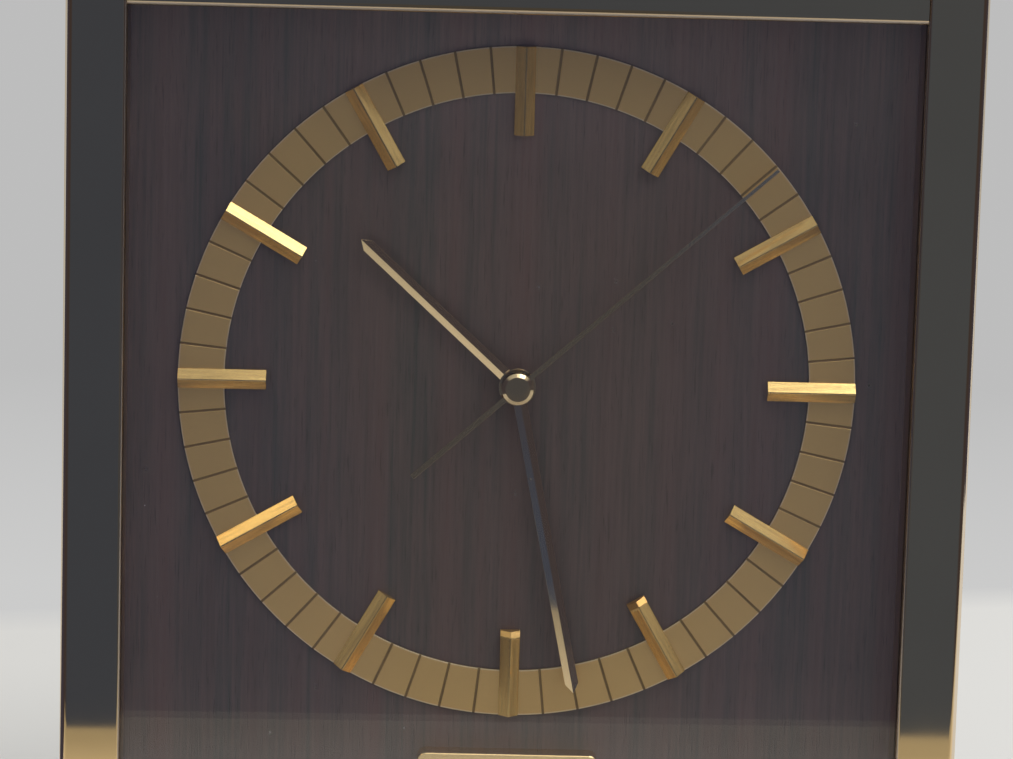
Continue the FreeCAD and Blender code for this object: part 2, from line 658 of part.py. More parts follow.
OUTER = "(drum_end + drum_gear_w)"
SIDE = "(cradle_x - 0.1)"
TENS_GEAR = "(tens_in - drum_gear_w)"
drum("month_drum", "month_faces", ("-drum_end", "month_in"), "-" + OUTER, ("-" + SIDE, "-" + OUTER))
drum("tens_drum", "tens_faces", ("tens_in", "tens_out"), TENS_GEAR, ("tens_in", "tens_out + 0.2"))
drum("units_drum", "units_faces", ("units_in", "drum_end"), "drum_end", (OUTER, SIDE))
thumbwheel("month_thumbwheel", "-" + OUTER, ("-" + SIDE, "-" + OUTER))
thumbwheel("tens_thumbwheel", TENS_GEAR, ("-drum_end + 0.1", "drum_end - 0.1"))
thumbwheel("units_thumbwheel", "drum_end", (OUTER, SIDE))
SPINDLE_X = both("cradle_x + cradle_t")
keep(cross_rod("drum_spindle", "spindle_r", SPINDLE_X[0], SPINDLE_X[1], DRUM_Y))
keep(cross_rod("thumbwheel_spindle", "spindle_r", SPINDLE_X[0], SPINDLE_X[1], WHEEL_Y))

CRADLE_BACK = "(%s + 4)" % WHEEL_Y
CRADLE_LOW = "(%s - cradle_drop)" % CAL_Z
cradle_parts = [box("cradle_floor", SPINDLE_X, (PANEL_BACK, CRADLE_BACK),
                    (CRADLE_LOW, CRADLE_LOW + " + cradle_t"))]
for side, sign in (("left", "-"), ("right", "")):
    near, far = ("%s(cradle_x)" % sign, "%s(cradle_x + cradle_t)" % sign)
    wall = (far, near) if sign else (near, far)
    ear = "%s(cradle_x + cradle_t + cradle_ear)" % sign
    flange = (ear, far) if sign else (far, ear)
    cradle_parts.append(box("cradle_side_" + side, wall, (PANEL_BACK, CRADLE_BACK),
                            (CRADLE_LOW, CAL_Z + " + 4")))
    cradle_parts.append(box("cradle_ear_" + side, flange, (PANEL_BACK, PANEL_BACK + " + cradle_t"),
                            (CRADLE_LOW, CAL_Z + " + 10")))
    cradle_parts.append(box("cradle_cheek_" + side, wall, (PANEL_BACK, PANEL_BACK + " + 4"),
                            (CAL_Z + " + 3", CAL_Z + " + 10")))
cradle_cuts = [cross_rod("cradle_bore_%d" % k, "spindle_r", "-depth", "depth", y)
               for k, y in enumerate((DRUM_Y, WHEEL_Y))]
cradle_cuts += [rod("cradle_hole_%d" % k, "lug_screw_r", "%s - 1" % PANEL_BACK, "%s + 3" % PANEL_BACK, x, z)
                for k, (x, z) in enumerate(EARS)]
keep(cut("calendar_cradle", join("cradle_solid", *cradle_parts), *cradle_cuts))
keep(lug_screws("cradle_screws", EARS, "(%s + cradle_t)" % PANEL_BACK))


# ---------------------------------------------------------------- hands
def baton(name, angle, width, side, length, y, boss_r, bore_r):
    """A roof-shaped hand with a pointed tip and a round boss."""
    hand = make_body(name, z=AXIS)
    hand.Placement.Rotation = Rotation(Vector(0, 1, 0), 30)
    bind(hand, "Placement.Rotation.Angle", angle)
    roof = sketch(hand, name + "_roof", "XY_Plane", "%s - 0.5" % boss_r)
    half = "%s / 2" % width
    eaves = "%s - %s" % (y, side)
    polygon(roof, ("-" + half, y), ("-" + half, eaves), ("0", "%s - hand_t" % y), (half, eaves), (half, y))
    pad(hand, roof, "%s - %s + 0.5" % (length, boss_r))
    tip = sketch(hand, name + "_tip", "XZ_Plane")
    past = "%s + 1" % length
    shoulder = "%s - hand_tip_l" % length
    polygon(tip, ("-" + half, shoulder), ("0", length), ("0", past), ("-%s - 1" % half, past),
            ("-%s - 1" % half, shoulder))
    polygon(tip, (half, shoulder), (half + " + 1", shoulder), (half + " + 1", past), ("0.01", past),
            ("0.01", length))
    pocket(hand, tip)
    disc(hand, name + "_boss", boss_r, "%s - hand_t" % y, "hand_t")
    eye = sketch(hand, name + "_eye", "XZ_Plane")
    circle(eye, bore_r)
    pocket(hand, eye)
    return keep(hand)


baton("hour_hand", "hour_angle", "hour_hand_w", "hour_side", "hour_hand_l", HOUR_Y,
      "hour_boss_r", "hour_tube_r")
baton("minute_hand", "minute_angle", "minute_hand_w", "minute_side", "minute_hand_l", MINUTE_Y,
      "minute_boss_r", "minute_tube_r")
second = make_body("second_hand", z=AXIS)
second.Placement.Rotation = Rotation(Vector(0, 1, 0), 30)
bind(second, "Placement.Rotation.Angle", "second_angle")
needle = sketch(second, "second_outline", "XZ_Plane", "-%s" % SECOND_Y)
polygon(needle, ("-second_tail_w / 2", "-second_tail_l"), ("second_tail_w / 2", "-second_tail_l"),
        ("second_tail_w / 2", "0"), ("second_hand_w / 2", "second_hand_l"),
        ("-second_hand_w / 2", "second_hand_l"), ("-second_tail_w / 2", "0"))
pad(second, needle, "second_t")
disc(second, "second_boss", "second_boss_r", "%s - second_t - 0.1" % SECOND_Y, "second_t + 0.1")
second_eye = sketch(second, "second_eye", "XZ_Plane")
circle(second_eye, "second_shaft_r")
pocket(second, second_eye)
keep(second)
CAP_Y = "(%s - second_t - 0.1)" % SECOND_Y
cap = make_body("cap_body", z=AXIS)
disc(cap, "cap_disc", "cap_r", "%s - cap_t" % CAP_Y, "cap_t")
cap_cone = disc(cap, "cap_cone", "cap_r", "%s - cap_t - cap_rise" % CAP_Y, "cap_rise")
bind(cap_cone, "TaperAngle", "-cap_slope")
keep(cut("hand_cap", cap, rod("cap_bore", "second_shaft_r", "%s - 0.5" % CAP_Y, "%s + 1" % CAP_Y)))


# ---------------------------------------------------------------- movement
def movement_box(name, inset, y, low="move_w / 2", high="move_w / 2"):
    side = "move_w / 2 - %s" % inset
    return box(name, both(side), y,
               ("%s - %s + %s" % (AXIS, low, inset), "%s + %s - %s" % (AXIS, high, inset)))


CELL_TOP = "(%s + cell_r + 0.3)" % CELL_Z
case_front = join(
    "movement_shell",
    cut("movement_tub", movement_box("movement_block", "0", (PANEL_BACK, LID_Y)),
        movement_box("movement_room", "move_wall", (MOVE_IN, "%s + 1" % LID_Y))),
    box("cell_wall", both("move_w / 2 - 1"), (MOVE_IN, LID_Y), (CELL_TOP, CELL_TOP + " + 1")),
    *[rod("lug_%d" % k, "lug_r", PANEL_BACK, PANEL_BACK + " + lug_t", x, z)
      for k, (x, z) in enumerate(LUGS)])
WORKS_X = "-" + WORKS_ARM
THIRD_X = TRAIN_ARM
ROTOR_Z = "(%s + %s)" % (AXIS, ROTOR_ARM)
SET_X = "(-%s + %s * sin(set_angle))" % (WORKS_ARM, SET_ARM)
SET_Z = "(%s + %s * cos(set_angle))" % (AXIS, SET_ARM)
PIVOT_IN = "(%s - 0.9)" % MOVE_IN
pivots = [rod("pivot_%d" % k, "arbor_r + run_gap", PIVOT_IN, "%s + 1" % MOVE_IN, x, z)
          for k, (x, z) in enumerate(((WORKS_X, AXIS), (THIRD_X, AXIS), (0, ROTOR_Z)))]
lug_holes = [rod("lug_hole_%d" % k, "lug_screw_r", "%s - 1" % PANEL_BACK, "%s + 3" % PANEL_BACK, x, z)
             for k, (x, z) in enumerate(LUGS)]
keep(cut("movement_case", case_front, rod("tube_hole", "hour_tube_r + run_gap", "%s - 1" % PANEL_BACK,
                                          "%s + 1" % MOVE_IN), *(pivots + lug_holes)))
keep(lug_screws("movement_screws", LUGS, "(%s + lug_t)" % PANEL_BACK))
LID_BACK = "(%s + move_wall)" % LID_Y
THROUGH_LID = ("%s - 1" % LID_Y, "%s + 1" % LID_BACK)
keep(cut("movement_lid", movement_box("lid_plate", "0", (LID_Y, LID_BACK)),
         box("lid_cell_opening", both("move_w / 2 - move_wall - 0.5"), THROUGH_LID,
             ("%s - cell_r" % CELL_Z, "%s + cell_r" % CELL_Z)),
         rod("lid_set_hole", "minute_tube_r + run_gap", *THROUGH_LID, SET_X, SET_Z)))


def arbor(name, x, z, start, end, radius="arbor_r"):
    return rod(name, radius, start, end, x, z)


def wheel(name, x, z, *toothed):
    """A gear body at x, z; each toothing has a tooth count, module, layer, thickness and phase."""
    body = make_body(name + "_gears", x=x, z=z)
    for k, (teeth, module, y, thick, phase) in enumerate(toothed):
        toothing(body, "%s_%d" % (name, k), teeth, module, y, thick, phase)
    return body


BRIDGE_BACK = "(%s + bridge_t)" % BRIDGE_Y
hour_wheel = join("hour_wheel_solid",
                  wheel("hour_wheel", 0, AXIS, ("hour_teeth", "works_module", HOUR_WHEEL_Y, "works_t",
                                                "(270 + 180 / hour_teeth)")),
                  rod("hour_tube", "hour_tube_r", "%s - hand_t" % HOUR_Y, "%s + works_t" % HOUR_WHEEL_Y))
keep(cut("hour_wheel", hour_wheel, rod("hour_bore", "minute_tube_r + run_gap", "%s - 5" % HOUR_Y,
                                       "%s + 1" % CANNON_Y)))
cannon = join("cannon_solid",
              wheel("cannon", 0, AXIS, ("cannon_teeth", "works_module", CANNON_Y, "works_t", "270")),
              rod("minute_tube", "minute_tube_r", "%s - hand_t" % MINUTE_Y, "%s + works_t" % CANNON_Y),
              rod("cannon_seat", "minute_tube_r", CANNON_Y, CENTRE_Y))
keep(cut("cannon_pinion", cannon, rod("cannon_bore", "second_shaft_r + run_gap", "%s - 5" % MINUTE_Y,
                                      "%s + 1" % CENTRE_Y)))
centre = wheel("centre", 0, AXIS, ("centre_teeth", "train_module", CENTRE_Y, "train_t",
                                   "(90 + 180 / centre_teeth)"))
keep(cut("centre_wheel", centre, rod("centre_bore", "second_shaft_r + run_gap", "%s - 1" % CENTRE_Y,
                                     "%s + 2" % CENTRE_Y)))
keep(join("minute_wheel",
          wheel("minute_wheel", WORKS_X, AXIS,
                ("minute_pinion_teeth", "works_module", HOUR_WHEEL_Y, "works_t + 0.4", "90"),
                ("minute_teeth", "works_module", CANNON_Y, "works_t", "(90 + 180 / minute_teeth)")),
          arbor("minute_arbor", WORKS_X, AXIS, "%s + 0.1" % PIVOT_IN, BRIDGE_BACK)))
keep(join("third_wheel",
          wheel("third", THIRD_X, AXIS,
                ("third_pinion_teeth", "train_module", "%s - 0.1" % CENTRE_Y, "train_t + 1", "270"),
                ("third_teeth", "train_module", THIRD_Y, "train_t", "270")),
          arbor("third_arbor", THIRD_X, AXIS, "%s + 0.1" % PIVOT_IN, BRIDGE_BACK)))
keep(join("seconds_wheel",
          wheel("seconds", 0, AXIS,
                ("second_pinion_teeth", "train_module", "%s - 0.1" % THIRD_Y, "train_t + 1",
                 "(90 + 180 / second_pinion_teeth)"),
                ("second_teeth", "motor_module", SECOND_WHEEL_Y, "train_t", "0")),
          arbor("seconds_arbor", 0, AXIS, "%s - 0.5" % CAP_Y, BRIDGE_BACK, "second_shaft_r")))
keep(join("motor_rotor",
          wheel("rotor", 0, ROTOR_Z, ("rotor_pinion_teeth", "motor_module", "%s - 0.1" % SECOND_WHEEL_Y,
                                      "train_t + 0.9", "(180 + 180 / rotor_pinion_teeth)")),
          rod("rotor_magnet", "rotor_r", ROTOR_Y, "%s + rotor_t" % ROTOR_Y, 0, ROTOR_Z),
          arbor("rotor_arbor", 0, ROTOR_Z, "%s + 0.1" % PIVOT_IN, BRIDGE_BACK)))
STATOR_Y = "(%s + 0.6)" % ROTOR_Y
COIL_Z = "(%s + move_w / 2 - move_wall - coil_r - 0.8)" % AXIS
stator_edges = ("%s - rotor_r - 3" % ROTOR_Z, "%s + coil_r" % COIL_Z)
keep(cut("motor_stator",
         box("stator_plate", both("coil_l / 2 + 3"), (STATOR_Y, "%s + stator_t" % STATOR_Y), stator_edges),
         rod("stator_eye", "rotor_r + clear_gap", "%s - 1" % STATOR_Y, "%s + 2" % STATOR_Y, 0, ROTOR_Z),
         box("stator_gap", both("coil_l / 2 + clear_gap"), ("%s - 1" % STATOR_Y, "%s + 2" % STATOR_Y),
             ("%s - coil_r - 0.6" % COIL_Z, "%s + 9" % COIL_Z))))
COIL_Y = "(%s + stator_t / 2)" % STATOR_Y
keep(join("motor_coil",
          cross_rod("coil_winding", "coil_r - 0.5", "-coil_l / 2 + 0.8", "coil_l / 2 - 0.8", COIL_Y, COIL_Z),
          cross_rod("coil_cheek_left", "coil_r", "-coil_l / 2", "-coil_l / 2 + 0.8", COIL_Y, COIL_Z),
          cross_rod("coil_cheek_right", "coil_r", "coil_l / 2 - 0.8", "coil_l / 2", COIL_Y, COIL_Z),
          box("coil_core", both("coil_l / 2 + clear_gap"), (STATOR_Y, "%s + stator_t" % STATOR_Y),
              ("%s - 1.5" % COIL_Z, "%s + 1.5" % COIL_Z))))
bridge_z = ("%s + 1.2" % CELL_TOP, "%s + 14" % AXIS)
bridge_x = both("move_w / 2 - move_wall - 4")
bridge_through = ("%s - 1" % BRIDGE_Y, "%s + 3" % BRIDGE_Y)
bridge_corners = [("%s(move_w / 2 - move_wall - 5.5)" % sign, "%s + %s" % (AXIS, z))
                  for sign in ("-", "") for z in (-9, 12.3)]
bridge_legs = [rod("bridge_leg_%d" % k, "1.5", MOVE_IN, "%s + 0.1" % BRIDGE_Y, x, z)
               for k, (x, z) in enumerate(bridge_corners)]
bridge_holes = [rod("bridge_pivot_%d" % k, "arbor_r + run_gap", *bridge_through, x, z)
                for k, (x, z) in enumerate(((WORKS_X, AXIS), (THIRD_X, AXIS), (0, ROTOR_Z)))]
keep(cut("train_bridge",
         join("bridge_solid",
              box("bridge_plate", bridge_x, (BRIDGE_Y, BRIDGE_BACK), bridge_z),
              *bridge_legs),
         *(bridge_holes
           + [rod("bridge_centre", "second_shaft_r + run_gap", *bridge_through),
              rod("bridge_set", "minute_tube_r + run_gap", *bridge_through, SET_X, SET_Z)])))
keep(join("circuit_board",
          box("board_plate", ("-2", "move_w / 2 - move_wall - 1"), (BOARD_Y, "%s + board_t" % BOARD_Y),
              ("%s + 1" % AXIS, "%s + 13" % AXIS)),
          box("board_chip", ("4", "9"), ("%s + board_t" % BOARD_Y, "%s + board_t + 0.9" % BOARD_Y),
              ("%s + 4" % AXIS, "%s + 9" % AXIS)),
          box("board_post", ("22", "24.5"), (BRIDGE_BACK, BOARD_Y), ("%s + 9" % AXIS, "%s + 12.5" % AXIS)),
          cross_rod("board_crystal", "1", "12", "19", "%s + board_t + 0.8" % BOARD_Y, "%s + 10" % AXIS),
          cross_rod("board_cap", "1.2", "12", "17", "%s + board_t + 1" % BOARD_Y, "%s + 5" % AXIS)))
CELL_X = "(cell_l / 2)"
keep(join("battery",
          cross_rod("cell_can", "cell_r", "-" + CELL_X, CELL_X, CELL_Y, CELL_Z),
          cross_rod("cell_nub", "cell_nub_r", CELL_X, CELL_X + " + cell_nub_l", CELL_Y, CELL_Z)))
CONTACT = "(move_w / 2 - move_wall)"
keep(collect("battery_contacts",
             box("contact_plus", (CONTACT + " - contact_t", CONTACT), ("%s - 4" % CELL_Y, "%s + 4" % CELL_Y),
                 ("%s - 4.5" % CELL_Z, "%s + 4.5" % CELL_Z)),
             join("contact_minus",
                  box("contact_plate", ("-" + CONTACT, "-" + CONTACT + " + contact_t"),
                      ("%s - 4" % CELL_Y, "%s + 4" % CELL_Y), ("%s - 4.5" % CELL_Z, "%s + 4.5" % CELL_Z)),
                  box("contact_leaf", ("-" + CONTACT, "-" + CELL_X), ("%s - 2.5" % CELL_Y, "%s + 2.5" % CELL_Y),
                      ("%s - 0.4" % CELL_Z, "%s + 0.4" % CELL_Z)))))

# setting knob: its pinion turns the minute wheel, its knob stands in a hole in the back
KNOB_Y = "(%s - knob_t)" % BACK
knob = make_body("knob_blank", x=SET_X, z=SET_Z)
disc(knob, "knob_disc", "knob_r", KNOB_Y, "knob_t")
flute = sketch(knob, "knob_flute", "XZ_Plane", "-%s" % BACK)
circle(flute, "knob_groove_r", "0", "knob_r")
flute_cut = knob.newObject("PartDesign::Pocket", "knob_flute_cut")
flute_cut.Profile = flute
flute_cut.SideType = "Symmetric"
bind(flute_cut, "Length", "4 * knob_t")
flute.Visibility = False
repeat(knob, "knob_flutes", "knob_grooves", flute_cut)
keep(join("setting_knob",
          knob,
          wheel("set", SET_X, SET_Z, ("set_teeth", "works_module", CANNON_Y, "works_t",
                                      "(set_angle + 180)")),
          rod("set_shaft", "minute_tube_r", "%s + works_t - 0.01" % CANNON_Y, "%s + 0.01" % KNOB_Y,
              SET_X, SET_Z)))


# ---------------------------------------------------------------- rear case
CASE_IN_BACK = "(%s - case_wall)" % CASE_BACK
COLLAR_X = "(opening_w / 2 + lip - seat_gap)"
shell = cut("case_shell",
            join("case_outside",
                 box("case_block", both(CASE_X), (FRAME_BACK, CASE_BACK), ("foot_t", CASE_TOP)),
                 box("collar_block", both(COLLAR_X), (PANEL_BACK, "%s + 1" % FRAME_BACK),
                     (SEAT_BOTTOM, SEAT_TOP))),
            box("case_room", both("%s - case_wall" % CASE_X), ("%s + case_wall" % FRAME_BACK, CASE_IN_BACK),
                ("foot_t + case_wall", "%s - case_wall" % CASE_TOP)),
            box("collar_room", both("%s - case_wall" % COLLAR_X),
                ("%s - 1" % PANEL_BACK, "%s + case_wall + 1" % FRAME_BACK),
                ("%s + case_wall" % SEAT_BOTTOM, "%s - case_wall" % SEAT_TOP)))
bosses = [rod("case_boss_%d" % k, "boss_r", FRAME_BACK, "%s + 0.1" % CASE_IN_BACK, x, z)
          for k, (x, z) in enumerate(CASE_SCREWS)]
SINK = "(%s + case_wall + 3)" % FRAME_BACK
case_cuts = []
for k, (x, z) in enumerate(CASE_SCREWS):
    case_cuts.append(rod("case_hole_%d" % k, "case_screw_r", "%s - 1" % FRAME_BACK, "%s + 1" % SINK, x, z))
    case_cuts.append(rod("case_sink_%d" % k, "case_screw_head_r", SINK, "%s + 1" % CASE_BACK, x, z))
WELL = ("%s - 1" % CASE_IN_BACK, "%s + 1" % CASE_BACK)
HATCH = ("%s + hatch_bottom" % AXIS, "%s + hatch_top" % AXIS)
case_cuts.append(box("hatch_opening", both("hatch_w / 2"), WELL, HATCH))
case_cuts.append(rod("knob_well", "knob_r + 0.7", WELL[0], WELL[1], SET_X, SET_Z))
SLOT_Z = high_low("(%s - 1.3)" % DRUM_TIP)
for name, start in (("month", "-" + OUTER), ("tens", TENS_GEAR), ("units", "drum_end")):
    case_cuts.append(box("slot_" + name, ("%s - 0.7" % start, "%s + drum_gear_w + 0.7" % start),
                         WELL, SLOT_Z))
guides = []
GUIDE_X = "(hatch_w / 2 + door_over + 0.3)"
GUIDE_Z = ("%s + hatch_bottom - door_travel" % AXIS, "%s + hatch_top + door_over" % AXIS)
LIP_Y = "(%s + door_t + 0.2)" % CASE_BACK
for side, sign in (("left", "-"), ("right", "")):
    near, far = "%s%s" % (sign, GUIDE_X), "%s(%s + guide_w)" % (sign, GUIDE_X)
    over = "%s(%s - guide_lip)" % (sign, GUIDE_X)
    guides.append(box("guide_" + side, (far, near) if sign else (near, far),
                      ("%s - 0.1" % CASE_BACK, "%s + guide_lip_t" % LIP_Y), GUIDE_Z))
    guides.append(box("guide_lip_" + side, (far, over) if sign else (over, far),
                      (LIP_Y, "%s + guide_lip_t" % LIP_Y), GUIDE_Z))
guides.append(box("door_stop", both("hatch_w / 4"), ("%s - 0.1" % CASE_BACK, "%s + door_t" % CASE_BACK),
                  ("%s + 0.4" % GUIDE_Z[1], "%s + 1.8" % GUIDE_Z[1])))
keep(join("rear_case", cut("case_drilled", join("case_bossed", shell, *bosses), *case_cuts), *guides))

DOOR_Y = ("%s + 0.1" % CASE_BACK, "%s + 0.1 + door_t" % CASE_BACK)
DOOR_Z = ("%s - door_over" % HATCH[0], "%s + door_over" % HATCH[1])
ribs = [box("door_rib_%d" % k, both("hatch_w / 4"), (DOOR_Y[0], "%s + 0.6" % DOOR_Y[1]),
            ("%s + 4 + %d * grip_pitch" % (DOOR_Z[0], k), "%s + 4.8 + %d * grip_pitch" % (DOOR_Z[0], k)))
        for k in range(int(SIZES["grip_ribs"]))]
keep(join("battery_door", box("door_plate", both("hatch_w / 2 + door_over"), DOOR_Y, DOOR_Z), *ribs))

case_shanks = [rod("case_shank_%d" % k, "case_screw_r", "%s - case_screw_l + 2.2" % FRAME_BACK, SINK, x, z)
               for k, (x, z) in enumerate(CASE_SCREWS)]
case_heads = [rod("case_head_%d" % k, "case_screw_head_r", SINK, "%s + case_screw_head_t" % SINK, x, z)
              for k, (x, z) in enumerate(CASE_SCREWS)]
case_slots = [box("case_slot_%d" % k, ("%s - 4" % x, "%s + 4" % x),
                  ("%s + case_screw_head_t - 0.7" % SINK, "%s + 3" % SINK), ("%s - 0.4" % z, "%s + 0.4" % z))
              for k, (x, z) in enumerate(CASE_SCREWS)]
keep(cut("case_screws", join("case_screw_blanks", *(case_shanks + case_heads)), *case_slots))

# ---------------------------------------------------------------- check and export
doc.recompute()
for obj in doc.Objects:
    if "Invalid" in obj.State or "Error" in obj.State:
        raise RuntimeError("%s did not compute: %s" % (obj.Name, obj.State))
for node in NODES:
    shape = node.Shape
    if shape.isNull() or not shape.isValid():
        raise RuntimeError("%s has no valid shape" % node.Label)
    shape.exportStep("parts/%s.step" % node.Label)
    print("%-20s solids %d  volume %.1f" % (node.Label, len(shape.Solids), shape.Volume))
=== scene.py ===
import math
import bmesh
import bpy
from mathutils import Matrix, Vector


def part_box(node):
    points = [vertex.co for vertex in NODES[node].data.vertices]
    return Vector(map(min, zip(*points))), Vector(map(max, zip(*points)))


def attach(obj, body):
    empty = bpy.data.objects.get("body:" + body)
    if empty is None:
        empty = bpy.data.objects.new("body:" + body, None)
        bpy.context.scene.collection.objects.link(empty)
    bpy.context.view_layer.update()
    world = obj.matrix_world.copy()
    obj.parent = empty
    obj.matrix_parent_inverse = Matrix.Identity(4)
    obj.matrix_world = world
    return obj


# Looks of the desk clock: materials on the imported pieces, the numbers on the calendar drums,
# and a plain table-top stage. Metres, in the part's own frame: the dial faces -Y.

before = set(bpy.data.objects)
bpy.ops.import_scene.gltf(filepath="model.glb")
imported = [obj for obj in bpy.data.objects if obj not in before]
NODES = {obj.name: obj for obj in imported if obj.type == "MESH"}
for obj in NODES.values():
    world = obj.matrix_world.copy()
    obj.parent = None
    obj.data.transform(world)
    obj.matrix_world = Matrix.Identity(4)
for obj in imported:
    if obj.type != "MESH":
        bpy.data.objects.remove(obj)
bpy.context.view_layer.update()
MM = 0.001

dial_low, dial_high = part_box("chapter_ring")
AXIS_Z = (dial_low.z + dial_high.z) / 2     # height of the hands' axis
DIAL_R = (dial_high.x - dial_low.x) / 2
RING_W = 8.2 * MM
MARKER_L = 15.6 * MM
DRUM_R = 10.2 * MM
DIGIT_H = 3.9 * MM


# ---------------------------------------------------------------- node helpers
class Graph:
    """A node tree and short ways to add nodes to it."""

    def __init__(self, tree):
        self.tree = tree

    def node(self, kind, **settings):
        """A new node with these settings."""
        made = self.tree.nodes.new(kind)
        for key, value in settings.items():
            setattr(made, key, value)
        return made

    def link(self, source, target):
        self.tree.links.new(source, target)

    def feed(self, target, value):
        """Link a socket or set a constant; None leaves the input as it is."""
        if isinstance(value, bpy.types.NodeSocket):
            self.link(value, target)
        elif value is not None:
            target.default_value = value

    def position(self, stretch=(1, 1, 1)):
        """The point in the part's frame, each axis multiplied."""
        coordinate = self.node("ShaderNodeTexCoord")
        mapping = self.node("ShaderNodeMapping")
        self.link(coordinate.outputs["Object"], mapping.inputs["Vector"])
        mapping.inputs["Scale"].default_value = stretch
        return mapping.outputs["Vector"]

    def facing(self):
        """The three parts of the surface's own normal, by axis letter."""
        parts = self.node("ShaderNodeSeparateXYZ")
        self.link(self.node("ShaderNodeNewGeometry").outputs["Normal"], parts.inputs["Vector"])
        return parts.outputs

    def noise(self, vector, scale, detail=2.0, roughness=0.5, distortion=0.0):
        """Cloudy noise from 0 to 1."""
        made = self.node("ShaderNodeTexNoise")
        self.link(vector, made.inputs["Vector"])
        made.inputs["Scale"].default_value = scale
        made.inputs["Detail"].default_value = detail
        made.inputs["Roughness"].default_value = roughness
        made.inputs["Distortion"].default_value = distortion
        return made.outputs["Fac"]

    def spots(self, vector, scale):
        """Distance to the nearest of many scattered points."""
        made = self.node("ShaderNodeTexVoronoi")
        self.link(vector, made.inputs["Vector"])
        made.inputs["Scale"].default_value = scale
        return made.outputs["Distance"]

    def spread(self, value, low, high, to_low=0.0, to_high=1.0):
        """The value's range low to high, stretched over to_low to to_high and held at its ends."""
        made = self.node("ShaderNodeMapRange")
        self.feed(made.inputs["Value"], value)
        made.inputs["From Min"].default_value = low
        made.inputs["From Max"].default_value = high
        made.inputs["To Min"].default_value = to_low
        made.inputs["To Max"].default_value = to_high
        return made.outputs["Result"]

    def math(self, operation, *values):
        made = self.node("ShaderNodeMath", operation=operation)
        for socket, value in zip(made.inputs, values):
            self.feed(socket, value)
        return made.outputs["Value"]

    def product(self, *values):
        """All the values multiplied together."""
        total = values[0]
        for value in values[1:]:
            total = self.math("MULTIPLY", total, value)
        return total

    def scaled(self, colour, factor):
        """The colour, each channel multiplied."""
        made = self.node("ShaderNodeVectorMath", operation="SCALE")
        self.link(colour, made.inputs[0])
        self.link(factor, made.inputs["Scale"])
        return made.outputs["Vector"]

    def mix(self, share, first, second):
        """The first colour, giving way to the second as the share goes from 0 to 1."""
        made = self.node("ShaderNodeMix", data_type="RGBA")
        self.feed(made.inputs["Factor"], share)
        self.feed(made.inputs["A"], first)
        self.feed(made.inputs["B"], second)
        return made.outputs["Result"]

    def bump(self, height, depth, onto=None):
        """A normal that shows the height as relief of this depth."""
        made = self.node("ShaderNodeBump")
        self.link(height, made.inputs["Height"])
        made.inputs["Distance"].default_value = depth
        made.inputs["Strength"].default_value = 1.0
        if onto is not None:
            self.link(onto, made.inputs["Normal"])
        return made.outputs["Normal"]

    def rounded(self, radius):
        """A normal that rounds sharp edges a little."""
        made = self.node("ShaderNodeBevel", samples=4)
        made.inputs["Radius"].default_value = radius
        return made.outputs["Normal"]

    def vector(self, x=None, y=None, z=None):
        """A vector from single values, 0 where none is given."""
        made = self.node("ShaderNodeCombineXYZ")
        for socket, value in zip(made.inputs, (x, y, z)):
            self.feed(socket, value)
        return made.outputs["Vector"]

    def tilted(self, normal, lean):
        """The normal leaned over by a short vector."""
        total = self.node("ShaderNodeVectorMath", operation="ADD")
        self.link(normal, total.inputs[0])
        self.link(lean, total.inputs[1])
        unit = self.node("ShaderNodeVectorMath", operation="NORMALIZE")
        self.link(total.outputs["Vector"], unit.inputs[0])
        return unit.outputs["Vector"]

    def surface(self, colour, roughness, metallic=0.0, normal=None, **others):
        """A principled shader; the others are named like its inputs, with _ for a space."""
        shader = self.node("ShaderNodeBsdfPrincipled")
        self.feed(shader.inputs["Base Color"], colour)
        self.feed(shader.inputs["Roughness"], roughness)
        self.feed(shader.inputs["Metallic"], metallic)
        if normal is not None:
            self.link(normal, shader.inputs["Normal"])
        for key, value in others.items():
            shader.inputs[key.replace("_", " ")].default_value = value
        return shader.outputs["BSDF"]

    def glow(self, colour):
        """A surface that shows this colour whatever the light."""
        made = self.node("ShaderNodeEmission")
        self.link(colour, made.inputs["Color"])
        return made.outputs["Emission"]

    def either(self, share, first, second):
        """The first shader, giving way to the second as the share goes from 0 to 1."""
        made = self.node("ShaderNodeMixShader")
        self.link(share, made.inputs["Fac"])
        self.link(first, made.inputs[1])
        self.link(second, made.inputs[2])
        return made.outputs["Shader"]


class Finish(Graph):
    """The tree of a new material."""

    def __init__(self, name):
        self.material = bpy.data.materials.new(name)
        self.material.use_nodes = True
        super().__init__(self.material.node_tree)
        self.tree.nodes.clear()
        self.output = self.node("ShaderNodeOutputMaterial")

    def done(self, shader):
        self.link(shader, self.output.inputs["Surface"])
        return self.material


def rgb(red, green, blue):
    return (red, green, blue, 1.0)


def shade(colour, factor):
    return rgb(*(channel * factor for channel in colour))


def axis_value(g, axis):
    """One coordinate of the point in the part's frame."""
    parts = g.node("ShaderNodeSeparateXYZ")
    g.link(g.position(), parts.inputs["Vector"])
    return parts.outputs[axis]


def from_axis(g):
    """Distances from the hands' axis: across, up and straight out."""
    across = axis_value(g, "X")
    up = g.math("SUBTRACT", axis_value(g, "Z"), AXIS_Z)
    squares = g.math("ADD", g.product(across, across), g.product(up, up))
    return across, up, g.math("SQRT", squares)


def round_axis(g, outward):
    """The point unrolled about the hands' axis: the way round, and the way out times outward."""
    across, up, reach = from_axis(g)
    turn = g.product(g.math("ARCTAN2", across, up), DIAL_R)
    return g.vector(turn, g.product(reach, outward))


